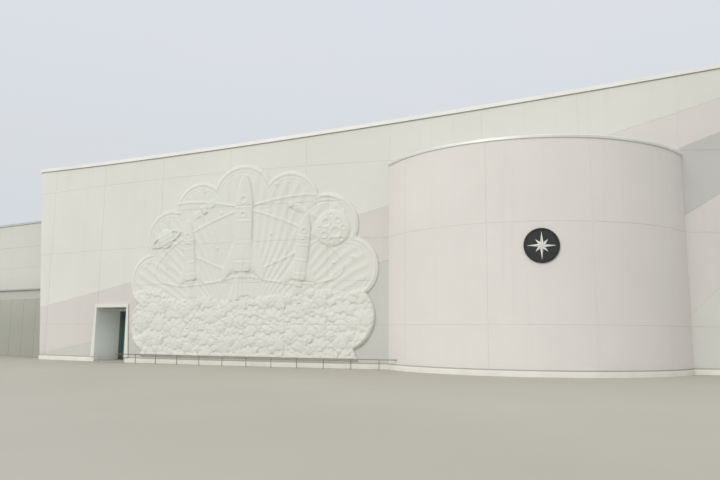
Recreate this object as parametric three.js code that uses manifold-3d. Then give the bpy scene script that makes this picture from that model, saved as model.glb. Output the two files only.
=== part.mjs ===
// Exhibition hall with a long curved front wall, a bowed drum bay, a recessed entry and a low side wing.
// All sizes below are metres of the real building. The group's own scale turns them into model millimetres.
// Plan angles are degrees about the centre of the front wall's arc: 0 is the middle of the front, minus is left.

import * as THREE from "three";
import { mergeVertices } from "three/addons/utils/BufferGeometryUtils.js";
import Module from "manifold-3d";

const wasm = await Module();
wasm.setup();

// Scale and fits
const MODEL_SCALE = 0.5;
const MODEL_MM = 1000 * MODEL_SCALE;
const SEAT = 0.3 / MODEL_MM; // gap left between two pieces that touch
const SWING = 5.5 / MODEL_MM; // gap left round a piece that moves

// Front wall
const WALL_RADIUS = 73.2;
const WALL_THICKNESS = 0.3;
const BAY_ANGLE = 3.2;
const WIDE_BAYS = { count: 3, extra: 0.033, end: 5 }; // right of the middle, made up for by the bays up to the end
const BAY_FACETS = 4;
const WIDEST_FACET = THREE.MathUtils.degToRad((BAY_ANGLE + WIDE_BAYS.extra) / BAY_FACETS);
const ARC_SAG = WALL_RADIUS * (1 - Math.cos(WIDEST_FACET / 2));
const WALL_END = { bottom: 16.35, top: 17.15 }; // the raked corner's plan angles
const WALL_TOP = { middle: 11.09, rise: 6.38, back: 34 }; // the sloping plane that cuts the wall's top
const PLINTH = { height: 0.25, proud: 0.03 };
const COPING = { height: 0.22, proud: 0.05 };

// Drum bay
const DRUM = { angle: 4.85, centre_radius: 69.33, radius: 7.218, thickness: 0.25, top: 9.15, step: 4 };
const DRUM_CAP = { height: 0.12, proud: 0.05, width: 0.35 };
const DRUM_ROOF = { bottom: 8.7, top: 8.95 };
const MEDALLION = { height: 4.91, diameter: 1.34, thickness: 0.06, turn: 0.4 }; // turn from the drum's axis

// Relief slab, drawn as unrolled metres along the wall from its left edge and metres up
const RELIEF = { left: -11.05, width: 13.6, bottom: 0.34, thickness: 0.22 };
// along, up, radius of each round lobe of its outline
const RELIEF_LOBES = [
  [1.75, 1.9, 1.5],
  [1.55, 4.1, 1.45],
  [2.55, 6.2, 1.5],
  [4.3, 7.5, 1.5],
  [6.7, 8.0, 1.7],
  [9.2, 7.7, 1.5],
  [11.1, 6.5, 1.55],
  [12.1, 4.5, 1.5],
  [11.85, 2.3, 1.6],
];
const LOBE_SIDES = 28;
const RELIEF_FOOT = { left: 0.9, right: 12.7 };

// Entry
const ENTRY = { angle: -11.97, width: 2.12, height: 2.8, depth: 1.6, lining: 0.12 };
const SURROUND = { proud: 0.06, head: 0.18, foot: 0.26, top: 0.1 };
const ENTRY_DOOR = { width: 1.96, height: 2.57 };
const DOOR_FRAME = { width: 0.05, depth: 0.1 };
const LEAF = { thickness: 0.045, stile: 0.045, top_rail: 0.1, bottom_rail: 0.25 };
const PANE_THICKNESS = 0.024;
const BARREL_RADIUS = 0.011;
const PULL = { bottom: 0.85, top: 1.35, stand_off: 0.06, size: 0.028, from_edge: 0.022 };

// Low rail in front of the relief: one bar on posts
const RAIL = { offset: 0.66, size: 0.04, height: 0.44, left: -11.1, right: 0.7 };
const RAIL_POSTS = { first: -10.08, step: 0.982, count: 11 }; // plan angles

// Hall behind the front wall
const SIDE_X = 20;
const SIDE_THICKNESS = 0.25;
const REAR_Y = -55.9;
const FLOOR_HEIGHT = 0.05;
const ROOF = { middle: 10.5, slope: 0.055, thickness: 0.35, parapet: 0.6 };
const HATCH = { x: 10, y: -61, width: 1.1, length: 1.4, curb: 0.07, rise: 0.3, lid: 0.05, overhang: 0.05 };
const HATCH_BARREL = 0.02;
const REAR_DOOR = { x: 8, width: 1.1, height: 2.2 };

// Low wing, square to the front wall's left end
const WING = {
  setback: 1.42, length: 8.2, depth: 7.6, front: 0.4, wall: 0.25, top: 8.15, roof: 7.67, roof_thickness: 0.25,
};
const WING_LEDGE = { height: 4.1, drop: 0.07, proud: 0.12 };
const WING_COPING = { height: 0.12, proud: 0.04 };

// Materials
const finish = (color, roughness, metalness) => new THREE.MeshStandardMaterial({ color, roughness, metalness });
const ivory = finish(0xd9dad1, 0.8, 0);
const bright = finish(0xeeeeea, 0.6, 0);
const plaster = finish(0xe1e2db, 0.85, 0);
const drumPaint = finish(0xd7d3ce, 0.75, 0);
const zinc = finish(0x8d8c88, 0.4, 0.8);
const darkBronze = finish(0x2f3130, 0.5, 0.4);
const reveal = finish(0xa0a59e, 0.8, 0);
const glass = finish(0x2d554b, 0.15, 0);
const steel = finish(0xb4b6b4, 0.35, 0.9);
const concrete = finish(0xa8a49c, 0.9, 0);
const membrane = finish(0xcfd0cc, 0.9, 0);

// Plan geometry
const radians = THREE.MathUtils.degToRad;

function polar(radius, angle) {
  return new THREE.Vector2(radius * Math.sin(radians(angle)), -radius * Math.cos(radians(angle)));
}

// Plan angles where joints and facets lie, numbered from the middle of the wall or of the drum
function jointAngle(bays) {
  const { count, extra, end } = WIDE_BAYS;
  const falling = (count * extra * (end - bays)) / (end - count);
  return bays * BAY_ANGLE + Math.max(Math.min(bays * extra, falling), 0);
}

const wallGrid = (i) => jointAngle(i / BAY_FACETS);
const drumGrid = (i) => DRUM.angle + i * DRUM.step;
const GRID_REACH = 30;

// Angles from one end to the other, with every grid angle between them, so that neighbours share their facets
function gridAngles(from, to, grid = wallGrid) {
  const margin = 0.02 * (grid(1) - grid(0));
  const inside = [];
  for (let i = -GRID_REACH; i <= GRID_REACH; i += 1) {
    if (grid(i) > from + margin && grid(i) < to - margin) inside.push(grid(i));
  }
  return [from, ...inside, to];
}

function sectorAt(outer, inner, angles, centre = new THREE.Vector2()) {
  const outside = angles.map((angle) => polar(outer, angle).add(centre));
  const inside = angles.map((angle) => polar(inner, angle).add(centre));
  return new THREE.Shape([...outside, ...inside.reverse()]);
}

const sector = (outer, inner, from, to) => sectorAt(outer, inner, gridAngles(from, to));

function prism(shape, bottom, top) {
  const geometry = new THREE.ExtrudeGeometry(shape, { depth: top - bottom, bevelEnabled: false, steps: 1 });
  return geometry.translate(0, 0, bottom);
}

// A block bent round a centre, with its bottom and top heights given for each plan angle
function curvedBlock(outer, inner, angles, bottomAt, topAt, centre = new THREE.Vector2()) {
  const steps = angles.length - 1;
  const geometry = new THREE.BoxGeometry(steps, 1, 1, steps, 1, 1).translate(steps / 2, 0.5, 0.5);
  return reshape(geometry, (point) => {
    const angle = angles[Math.round(point.x)];
    const place = polar(point.y > 0.5 ? inner : outer, angle).add(centre);
    point.set(place.x, place.y, point.z > 0.5 ? topAt(angle) : bottomAt(angle));
  });
}

function block(x0, x1, y0, y1, z0, z1) {
  const geometry = new THREE.BoxGeometry(x1 - x0, y1 - y0, z1 - z0);
  return geometry.translate((x0 + x1) / 2, (y0 + y1) / 2, (z0 + z1) / 2);
}

function rectangle(x0, x1, y0, y1) {
  return [new THREE.Vector2(x0, y0), new THREE.Vector2(x1, y0), new THREE.Vector2(x1, y1), new THREE.Vector2(x0, y1)];
}

// An outline drawn in x and z, with its thickness along y
function upright(shape, y0, y1) {
  return prism(shape, -y1, -y0).rotateX(Math.PI / 2);
}

// Cuts and joins
function toSolid(geometry) {
  const bare = geometry.clone();
  bare.deleteAttribute("normal");
  bare.deleteAttribute("uv");
  const merged = mergeVertices(bare, 1e-5);
  return new wasm.Manifold(
    new wasm.Mesh({
      numProp: 3,
      vertProperties: new Float32Array(merged.attributes.position.array),
      triVerts: new Uint32Array(merged.index.array),
    }),
  );
}

function fromSolid(solid) {
  const mesh = solid.getMesh();
  const geometry = new THREE.BufferGeometry();
  geometry.setAttribute("position", new THREE.BufferAttribute(mesh.vertProperties, 3));
  geometry.setIndex(new THREE.BufferAttribute(mesh.triVerts, 1));
  return geometry;
}

const cut = (a, ...others) => fromSolid(others.reduce((solid, b) => solid.subtract(toSolid(b)), toSolid(a)));
const join = (a, ...others) => fromSolid(others.reduce((solid, b) => solid.add(toSolid(b)), toSolid(a)));
const common = (a, b) => fromSolid(toSolid(a).intersect(toSolid(b)));

// Moves each vertex of a geometry by a function of its place
function reshape(geometry, move) {
  const position = geometry.attributes.position;
  const point = new THREE.Vector3();
  for (let i = 0; i < position.count; i += 1) {
    point.fromBufferAttribute(position, i);
    move(point);
    position.setXYZ(i, point.x, point.y, point.z);
  }
  return geometry;
}

const planAngle = (point) => THREE.MathUtils.radToDeg(Math.atan2(point.x, -point.y));

function wallTop(angle) {
  return WALL_TOP.middle + WALL_TOP.rise * Math.sin(radians(angle)) + WALL_TOP.back * (1 - Math.cos(radians(angle)));
}

const roofHeight = (x) => ROOF.middle + ROOF.slope * x;

// The building, one group with a mesh for each piece
const hall = new THREE.Group();

function piece(name, geometry, material, parent = hall) {
  const mesh = new THREE.Mesh(geometry, material);
  mesh.name = name;
  parent.add(mesh);
  return mesh;
}

// Curved front wall, one bay between each two joints, its top cut by the sloping plane
const SEAM = THREE.MathUtils.radToDeg(SEAT / WALL_RADIUS) / 2;
const FULL = PLINTH.height;
const OVER_DRUM = DRUM_ROOF.bottom;
// name, left joint, right joint (in bays from the middle), height of the bottom edge
const BAYS = [
  ["wall_bay_1", -5, -4, FULL],
  ["wall_bay_entry", -4, -3, FULL],
  ["wall_bay_2", -3, -2, FULL],
  ["wall_bay_3", -2, -1, FULL],
  ["wall_bay_4", -1, 0, FULL],
  ["wall_over_drum_1", 0, 1, OVER_DRUM],
  ["wall_over_drum_2", 1, 2, OVER_DRUM],
  ["wall_over_drum_3", 2, 3, OVER_DRUM],
  ["wall_bay_5", 3, 4, FULL],
  ["wall_bay_6", 4, 5, FULL],
];
const HALF_ENTRY = THREE.MathUtils.radToDeg(ENTRY.width / 2 / WALL_RADIUS);
const entryLeft = jointAngle(-4);
const entryRight = ENTRY.angle + HALF_ENTRY;

for (const [name, left, right, bottom] of BAYS) {
  const angles = gridAngles(jointAngle(left) + SEAM, jointAngle(right) - SEAM);
  let geometry = curvedBlock(WALL_RADIUS, WALL_RADIUS - WALL_THICKNESS, angles, () => bottom, wallTop);
  if (name === "wall_bay_entry") {
    const opening = sector(WALL_RADIUS + 1, WALL_RADIUS - 1, entryLeft - 0.1, entryRight);
    geometry = cut(geometry, prism(opening, -1, ENTRY.height));
  }
  piece(name, geometry, ivory);
}

// The two raked end pieces lean outwards from foot to top
for (const [name, side] of [["wall_end_left", -1], ["wall_end_right", 1]]) {
  const joint = jointAngle(side * 5);
  const start = joint + side * SEAM;
  const ends = [start, side * WALL_END.top].sort((a, b) => a - b);
  const narrowing = (side * WALL_END.bottom - start) / (side * WALL_END.top - start);
  const angles = gridAngles(...ends);
  const upper = curvedBlock(WALL_RADIUS, WALL_RADIUS - WALL_THICKNESS, angles, () => PLINTH.height, wallTop);
  const geometry = reshape(upper, (point) => {
    if (point.z < PLINTH.height + SEAT) {
      const foot = start + (planAngle(point) - start) * narrowing;
      const place = polar(Math.hypot(point.x, point.y), foot);
      point.set(place.x, place.y, point.z);
    }
  });
  piece(name, geometry, ivory);
}

// Coping along the top in four lengths
const COPING_JOINTS = [-WALL_END.top - 0.03, jointAngle(-3), 0, jointAngle(3), WALL_END.top + 0.03];
COPING_JOINTS.slice(1).forEach((to, i) => {
  const outer = WALL_RADIUS + COPING.proud;
  const inner = WALL_RADIUS - WALL_THICKNESS - COPING.proud;
  const angles = gridAngles(COPING_JOINTS[i] + SEAM, to - SEAM);
  const bottomAt = (angle) => wallTop(angle) + SEAT;
  const topAt = (angle) => wallTop(angle) + COPING.height;
  piece(`coping_${i + 1}`, curvedBlock(outer, inner, angles, bottomAt, topAt), bright);
});

// Plinth under the wall, open at the entry and at the drum
// name, left angle, right angle
const PLINTHS = [
  ["plinth_left", -WALL_END.bottom, entryLeft - 0.02],
  ["plinth_middle", entryRight + 0.02, 0],
  ["plinth_right", jointAngle(3), WALL_END.bottom],
];
for (const [name, from, to] of PLINTHS) {
  const shape = sector(WALL_RADIUS + PLINTH.proud, WALL_RADIUS - WALL_THICKNESS, from, to);
  piece(name, prism(shape, 0, PLINTH.height - SEAT), bright);
}

// Drum bay, cut to the front wall's face
const drumCentre = polar(DRUM.centre_radius, DRUM.angle);
const drumSag = DRUM.radius * (1 - Math.cos(radians(DRUM.step / 2)));
const PAST_WALL = 68;

function drumRing(outer, inner, from, to, bottom, top) {
  const angles = gridAngles(DRUM.angle + from, DRUM.angle + to, drumGrid);
  return prism(sectorAt(outer, inner, angles, drumCentre), bottom, top);
}

function behindFace(proud) {
  const radius = WALL_RADIUS + proud + SEAT;
  return prism(sector(radius, WALL_RADIUS - 8, wallGrid(-3), wallGrid(15)), -1, 20);
}

const drumSeam = THREE.MathUtils.radToDeg(SEAT / DRUM.radius) / 2;
const DRUM_JOINTS = [-PAST_WALL, -48, -16, 16, 48, PAST_WALL];
DRUM_JOINTS.slice(1).forEach((to, i) => {
  const bounds = [DRUM_JOINTS[i] + drumSeam, to - drumSeam];
  const inner = DRUM.radius - DRUM.thickness;
  const ring = drumRing(DRUM.radius, inner, ...bounds, PLINTH.height, DRUM.top - SEAT);
  piece(`drum_panel_${i + 1}`, Math.abs(bounds[0] + bounds[1]) > 80 ? cut(ring, behindFace(0)) : ring, drumPaint);
});
const plinthRing = drumRing(DRUM.radius + PLINTH.proud, DRUM.radius - DRUM.thickness, -PAST_WALL, PAST_WALL, 0,
  PLINTH.height - SEAT);
piece("plinth_drum", cut(plinthRing, behindFace(PLINTH.proud)), bright);
const capRing = drumRing(DRUM.radius + DRUM_CAP.proud, DRUM.radius + DRUM_CAP.proud - DRUM_CAP.width, -PAST_WALL,
  PAST_WALL, DRUM.top, DRUM.top + DRUM_CAP.height);
piece("drum_cap", cut(capRing, behindFace(0)), zinc);
const drumInsideRadius = DRUM.radius - DRUM.thickness - drumSag - SEAT;
const drumInside = new THREE.Shape(
  gridAngles(DRUM.angle - 90, DRUM.angle + 90, drumGrid).map((angle) =>
    polar(drumInsideRadius, angle).add(drumCentre),
  ),
);
piece("drum_roof", cut(prism(drumInside, DRUM_ROOF.bottom, DRUM_ROOF.top), behindFace(0)), membrane);

// Round medallion, bent to the drum's face
const medallionRing = drumRing(DRUM.radius + MEDALLION.thickness + SEAT, DRUM.radius + SEAT, -12, 12, 0, 9);
const medallionCore = new THREE.CylinderGeometry(MEDALLION.diameter / 2, MEDALLION.diameter / 2, 4, 48);
medallionCore.translate(0, -DRUM.radius, 0).rotateZ(radians(DRUM.angle + MEDALLION.turn));
medallionCore.translate(drumCentre.x, drumCentre.y, MEDALLION.height);
piece("medallion", common(medallionRing, medallionCore), darkBronze);

// Relief slab: round lobes joined to the many-sided middle that runs through their centres
function reliefPrism(points) {
  const outline = points.map(([along, up]) => {
    const angle = radians(RELIEF.left) + along / WALL_RADIUS;
    return new THREE.Vector2(WALL_RADIUS * Math.sin(angle), up);
  });
  return upright(new THREE.Shape(outline), -WALL_RADIUS - 2, -WALL_RADIUS + 5);
}

function reliefSlab() {
  const centres = RELIEF_LOBES.map(([along, up]) => [along, up]);
  const feet = [[RELIEF_FOOT.right, RELIEF.bottom], [RELIEF_FOOT.left, RELIEF.bottom]];
  const lobes = RELIEF_LOBES.map(([along, up, radius]) => {
    const turns = Array.from({ length: LOBE_SIDES }, (_, i) => (2 * Math.PI * i) / LOBE_SIDES);
    return reliefPrism(turns.map((turn) => [along + radius * Math.cos(turn), up + radius * Math.sin(turn)]));
  });
  const inner = WALL_RADIUS + SEAT;
  const right = RELIEF.left + THREE.MathUtils.radToDeg(RELIEF.width / WALL_RADIUS);
  const shell = prism(sector(inner + RELIEF.thickness, inner, RELIEF.left - 0.1, right + 0.1), RELIEF.bottom, 11);
  return common(shell, join(reliefPrism([...centres, ...feet].reverse()), ...lobes));
}
piece("relief_panel", reliefSlab(), plaster);

// Low rail on posts, its right end against the drum
function lowRail() {
  const radius = WALL_RADIUS + RAIL.offset;
  const half = RAIL.size / 2;
  const bar = prism(sector(radius + half, radius - half, RAIL.left, RAIL.right), RAIL.height - half, RAIL.height + half);
  const posts = Array.from({ length: RAIL_POSTS.count }, (_, i) => {
    const angle = RAIL_POSTS.first + i * RAIL_POSTS.step;
    const place = polar(radius, angle);
    const post = block(-half, half, -half, half, 0, RAIL.height);
    return post.rotateZ(radians(angle)).translate(place.x, place.y, 0);
  });
  return cut(join(bar, ...posts), drumRing(DRUM.radius + SEAT, 1, -100, 100, -1, 12));
}
piece("low_rail", lowRail(), steel);

// Doors: a frame with its hinge barrels, and leaves that swing about them
// In a door's own axes x runs along the opening, minus y is outside, and the frame's outside face is at y = 0.
function doorFrame(name, parent, width, height, hinges) {
  const half = width / 2;
  const inside = half - DOOR_FRAME.width;
  const shape = new THREE.Shape([
    new THREE.Vector2(-half, 0), new THREE.Vector2(-inside, 0), new THREE.Vector2(-inside, height - DOOR_FRAME.width),
    new THREE.Vector2(inside, height - DOOR_FRAME.width), new THREE.Vector2(inside, 0), new THREE.Vector2(half, 0),
    new THREE.Vector2(half, height), new THREE.Vector2(-half, height),
  ]);
  const barrels = hinges.map((side) => {
    const barrel = new THREE.CylinderGeometry(BARREL_RADIUS, BARREL_RADIUS, height - 0.1, 16).rotateX(Math.PI / 2);
    return barrel.translate(side * (inside - BARREL_RADIUS + 0.003), 0, (height - 0.1) / 2 + 0.02);
  });
  piece(name, join(upright(shape, 0, DOOR_FRAME.depth), ...barrels), darkBronze, parent);
}

function doorLeaf(name, parent, side, width, height, glazed) {
  const hinge = new THREE.Group();
  hinge.name = `${name}_hinge`;
  hinge.position.set(side * (width / 2 - DOOR_FRAME.width - BARREL_RADIUS + 0.003), 0, 0);
  parent.add(hinge);
  const span = glazed ? width / 2 : width;
  const near = BARREL_RADIUS + SEAT;
  const far = span - DOOR_FRAME.width - BARREL_RADIUS + 0.003 - (glazed ? SWING / 2 : DOOR_FRAME.width + SWING);
  const top = height - DOOR_FRAME.width - SWING;
  const bottom = SWING;
  const mirrored = (a, b) => (side < 0 ? [a, b] : [-b, -a]);
  const shape = new THREE.Shape(rectangle(...mirrored(near, far), bottom, top));
  const window = [
    ...mirrored(near + LEAF.stile, far - LEAF.stile), bottom + LEAF.bottom_rail, top - LEAF.top_rail,
  ];
  if (glazed) {
    shape.holes.push(new THREE.Path(rectangle(...window)));
  }
  const pullX = mirrored(far - PULL.from_edge - PULL.size / 2, far - PULL.from_edge + PULL.size / 2);
  const reach = PULL.stand_off + PULL.size;
  const pull = block(...pullX, -reach, -PULL.stand_off, PULL.bottom, PULL.top);
  const feet = [PULL.bottom, PULL.top - PULL.size].map((z) =>
    block(...pullX, -reach + 0.005, 0.01, z, z + PULL.size),
  );
  piece(name, join(upright(shape, 0, LEAF.thickness), pull, ...feet), darkBronze, hinge);
  if (glazed) {
    const middle = LEAF.thickness / 2;
    const [x0, x1, z0, z1] = window;
    const pane = block(x0 + SEAT, x1 - SEAT, middle - PANE_THICKNESS / 2, middle + PANE_THICKNESS / 2, z0 + SEAT,
      z1 - SEAT);
    piece(name.replace("door", "glass"), pane, glass, hinge);
  }
}

// Recessed entry, in its own axes: x to the right, minus y outwards from the wall's face
const entry = new THREE.Group();
const entryPlace = polar(WALL_RADIUS, ENTRY.angle);
entry.position.set(entryPlace.x, entryPlace.y, 0);
entry.rotation.z = radians(ENTRY.angle);
hall.add(entry);
const halfEntry = ENTRY.width / 2;
const liningOut = halfEntry + ENTRY.lining;
// distance of the wall's inside face from the tangent plane at the lining's far edge
const liningFront = WALL_THICKNESS + liningOut ** 2 / (2 * WALL_RADIUS) + ARC_SAG + SEAT;
const liningBack = ENTRY.depth;
const wallBack = ENTRY.depth + ENTRY.lining;

for (const [name, x0, x1] of [["entry_reveal_left", -liningOut, -halfEntry], ["entry_reveal_right", halfEntry, liningOut]]) {
  piece(name, block(x0, x1, liningFront, wallBack, FLOOR_HEIGHT + SEAT, ENTRY.height - SEAT), reveal, entry);
}
const soffit = block(-liningOut, liningOut, liningFront, wallBack, ENTRY.height, ENTRY.height + ENTRY.lining);
piece("entry_soffit", soffit, reveal, entry);

function entryBackWall() {
  const half = halfEntry - SEAT;
  const door = ENTRY_DOOR.width / 2 + SEAT;
  const bottom = FLOOR_HEIGHT + SEAT;
  const doorTop = FLOOR_HEIGHT + ENTRY_DOOR.height + 2 * SEAT;
  const top = ENTRY.height - SEAT;
  const shape = new THREE.Shape([
    new THREE.Vector2(-half, bottom), new THREE.Vector2(-door, bottom), new THREE.Vector2(-door, doorTop),
    new THREE.Vector2(door, doorTop), new THREE.Vector2(door, bottom), new THREE.Vector2(half, bottom),
    new THREE.Vector2(half, top), new THREE.Vector2(-half, top),
  ]);
  return upright(shape, liningBack, wallBack);
}
piece("entry_back_wall", entryBackWall(), reveal, entry);

// Flat white surround on the wall's face, its legs wider at the foot
function entrySurround() {
  const inner = halfEntry + 0.005;
  const head = ENTRY.height + SURROUND.head;
  const foot = PLINTH.height + SEAT;
  const shape = new THREE.Shape([
    new THREE.Vector2(-inner - SURROUND.foot, foot), new THREE.Vector2(-inner, foot),
    new THREE.Vector2(-inner, ENTRY.height), new THREE.Vector2(inner, ENTRY.height), new THREE.Vector2(inner, foot),
    new THREE.Vector2(inner + SURROUND.foot, foot), new THREE.Vector2(inner + SURROUND.top, head),
    new THREE.Vector2(-inner - SURROUND.top, head),
  ]);
  return upright(shape, -SURROUND.proud, -SEAT);
}
piece("entry_surround", entrySurround(), bright, entry);

const entryDoors = new THREE.Group();
entryDoors.position.set(0, liningBack, FLOOR_HEIGHT + SEAT);
entry.add(entryDoors);
doorFrame("entry_door_frame", entryDoors, ENTRY_DOOR.width, ENTRY_DOOR.height, [-1, 1]);
doorLeaf("entry_door_left", entryDoors, -1, ENTRY_DOOR.width, ENTRY_DOOR.height, true);
doorLeaf("entry_door_right", entryDoors, 1, ENTRY_DOOR.width, ENTRY_DOOR.height, true);

// Side walls from the front wall's inside face to the rear wall
const innerRadius = WALL_RADIUS - WALL_THICKNESS - ARC_SAG - SEAT;
const frontY = (x) => -Math.sqrt(innerRadius ** 2 - x ** 2);
const sideInside = SIDE_X - SIDE_THICKNESS;
const rearInside = REAR_Y - SIDE_THICKNESS;
for (const [name, side] of [["side_wall_left", -1], ["side_wall_right", 1]]) {
  const shape = new THREE.Shape([
    new THREE.Vector2(side * sideInside, frontY(sideInside)), new THREE.Vector2(side * SIDE_X, frontY(SIDE_X)),
    new THREE.Vector2(side * SIDE_X, rearInside - SEAT), new THREE.Vector2(side * sideInside, rearInside - SEAT),
  ]);
  piece(name, prism(shape, 0, roofHeight(side * SIDE_X) + ROOF.parapet), ivory);
}

// Rear wall with its sloping top and the service door's opening
const rearOutline = new THREE.Shape([
  new THREE.Vector2(-SIDE_X, 0), new THREE.Vector2(SIDE_X, 0),
  new THREE.Vector2(SIDE_X, roofHeight(SIDE_X) + ROOF.parapet),
  new THREE.Vector2(-SIDE_X, roofHeight(-SIDE_X) + ROOF.parapet),
]);
const rearDoorHalf = REAR_DOOR.width / 2 + SEAT;
rearOutline.holes.push(new THREE.Path(rectangle(REAR_DOOR.x - rearDoorHalf, REAR_DOOR.x + rearDoorHalf,
  FLOOR_HEIGHT, FLOOR_HEIGHT + REAR_DOOR.height + 2 * SEAT)));
piece("rear_wall", upright(rearOutline, rearInside, REAR_Y), ivory);
const rearDoor = new THREE.Group();
rearDoor.position.set(REAR_DOOR.x, REAR_Y, FLOOR_HEIGHT + SEAT);
rearDoor.rotation.z = Math.PI;
hall.add(rearDoor);
doorFrame("rear_door_frame", rearDoor, REAR_DOOR.width, REAR_DOOR.height, [-1]);
doorLeaf("rear_door", rearDoor, -1, REAR_DOOR.width, REAR_DOOR.height, false);

// Floor slab and roof deck, inside the walls
function planInside(shrink) {
  const radius = innerRadius;
  const x = sideInside - shrink;
  const edge = THREE.MathUtils.radToDeg(Math.asin(x / radius));
  return new THREE.Shape([
    ...gridAngles(-edge, edge).map((angle) => polar(radius, angle)),
    new THREE.Vector2(x, rearInside - shrink),
    new THREE.Vector2(-x, rearInside - shrink),
  ]);
}

function floorSlab() {
  const main = prism(planInside(SEAT), 0, FLOOR_HEIGHT);
  const neck = prism(sector(WALL_RADIUS + 0.2, WALL_RADIUS - 1, 0.35, 9.35), 0, FLOOR_HEIGHT);
  const drum = cut(prism(drumInside, 0, FLOOR_HEIGHT), behindFace(PLINTH.proud));
  const sill = prism(sector(WALL_RADIUS, WALL_RADIUS - 1, entryLeft + 0.02, entryRight - 0.02), 0, FLOOR_HEIGHT);
  return join(main, neck, drum, sill);
}
piece("floor_slab", floorSlab(), concrete);

function roofDeck() {
  const hole = HATCH.curb;
  const deck = reshape(prism(planInside(SEAT), -ROOF.thickness, 0), (point) => {
    point.z += roofHeight(point.x);
  });
  const x = HATCH.width / 2 - hole;
  const y = HATCH.length / 2 - hole;
  return cut(deck, block(HATCH.x - x, HATCH.x + x, HATCH.y - y, HATCH.y + y, 0, 20));
}
piece("roof_deck", roofDeck(), membrane);

// Roof hatch: a curb with the hinge barrel on its rear side, and a lid that lifts about it
const hatchTop = roofHeight(HATCH.x) + HATCH.rise;
function hatchCurb() {
  const x = HATCH.width / 2;
  const y = HATCH.length / 2;
  const ring = new THREE.Shape(rectangle(-x, x, -y, y));
  ring.holes.push(new THREE.Path(rectangle(-x + HATCH.curb, x - HATCH.curb, -y + HATCH.curb, y - HATCH.curb)));
  const curb = prism(ring, 0, HATCH.rise).translate(HATCH.x, HATCH.y, 0);
  reshape(curb, (point) => {
    point.z = point.z > 0.01 ? hatchTop : roofHeight(point.x) + SEAT;
  });
  const axisZ = hatchTop + SWING + HATCH.lid / 2;
  const axisY = HATCH.y + y + HATCH_BARREL;
  const barrel = new THREE.CylinderGeometry(HATCH_BARREL, HATCH_BARREL, HATCH.width - 0.1, 20).rotateZ(Math.PI / 2);
  barrel.translate(HATCH.x, axisY, axisZ);
  const brackets = [-1, 1].flatMap((side) => {
    const middle = HATCH.x + side * (x - 0.2);
    return [
      block(middle - 0.06, middle + 0.06, HATCH.y + y - 0.03, axisY + 0.01, hatchTop - 0.12, hatchTop),
      block(middle - 0.06, middle + 0.06, axisY - 0.012, axisY + 0.01, hatchTop - 0.12, axisZ - 0.012),
    ];
  });
  return join(curb, barrel, ...brackets);
}
piece("hatch_curb", hatchCurb(), zinc);
const hatchHinge = new THREE.Group();
hatchHinge.name = "hatch_lid_hinge";
hatchHinge.position.set(HATCH.x, HATCH.y + HATCH.length / 2 + HATCH_BARREL, hatchTop + SWING + HATCH.lid / 2);
hall.add(hatchHinge);
const lidHalf = HATCH.width / 2 + HATCH.overhang;
const lidFar = -(HATCH.length + HATCH_BARREL + HATCH.overhang);
const lidNear = -(HATCH_BARREL + SEAT);
piece("hatch_lid", block(-lidHalf, lidHalf, lidFar, lidNear, -HATCH.lid / 2, HATCH.lid / 2), zinc, hatchHinge);

// Low wing, running on from the front wall's left end and set back from it
const wingCorner = polar(WALL_RADIUS, -WALL_END.bottom);
const wingLeft = polar(1, -WALL_END.bottom - 90);
const wingIn = polar(-1, -WALL_END.bottom);
const besideHall = -SIDE_X - SEAT;

function wingPoint(left, inward) {
  return wingCorner.clone().addScaledVector(wingLeft, left).addScaledVector(wingIn, inward);
}

// the distance along the wing at which a line this far in meets the hall's side wall
function meetsHall(inward) {
  return (besideHall - wingCorner.x - wingIn.x * inward) / wingLeft.x;
}

function wingStrip(inward0, inward1, left0 = meetsHall(inward0), left1 = meetsHall(inward1), end = WING.length) {
  return new THREE.Shape([
    wingPoint(left0, inward0), wingPoint(left1, inward1), wingPoint(end, inward1), wingPoint(end, inward0),
  ]);
}

const wingFrontIn = WING.setback + WING.front;
const wingRearIn = WING.setback + WING.depth;
piece("wing_front_wall", prism(wingStrip(WING.setback, wingFrontIn), 0, WING.top), ivory);
piece("wing_rear_wall", prism(wingStrip(wingRearIn - WING.wall, wingRearIn), 0, WING.top), ivory);
const endFrom = WING.length - WING.wall;
const endWall = wingStrip(wingFrontIn + SEAT, wingRearIn - WING.wall - SEAT, endFrom, endFrom);
piece("wing_end_wall", prism(endWall, 0, WING.top), ivory);
const wingInside = wingStrip(wingFrontIn + SEAT, wingRearIn - WING.wall - SEAT, undefined, undefined, endFrom - SEAT);
piece("wing_roof", prism(wingInside, WING.roof - WING.roof_thickness, WING.roof), membrane);
piece("wing_floor", prism(wingInside, 0, FLOOR_HEIGHT), concrete);
const ledge = wingStrip(WING.setback - WING_LEDGE.proud, WING.setback - SEAT);
piece("wing_ledge", prism(ledge, WING_LEDGE.height - WING_LEDGE.drop, WING_LEDGE.height), zinc);

function wingCoping() {
  const proud = WING_COPING.proud;
  const [bottom, top] = [WING.top + SEAT, WING.top + WING_COPING.height];
  const end = WING.length + proud;
  const strips = [
    wingStrip(WING.setback - proud, wingFrontIn + proud, undefined, undefined, end),
    wingStrip(wingRearIn - WING.wall - proud, wingRearIn + proud, undefined, undefined, end),
    wingStrip(WING.setback, wingRearIn, endFrom - proud, endFrom - proud, end),
  ];
  return join(...strips.map((shape) => prism(shape, bottom, top)));
}
piece("wing_coping", wingCoping(), zinc);

// Origin: on the ground, in the middle of the building's own box
hall.updateMatrixWorld(true);
const box = new THREE.Box3().setFromObject(hall, true);
const middle = box.getCenter(new THREE.Vector3());
hall.position.set(-middle.x * MODEL_MM, -middle.y * MODEL_MM, -box.min.z * MODEL_MM);
hall.scale.setScalar(MODEL_MM);

export default hall;
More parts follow.
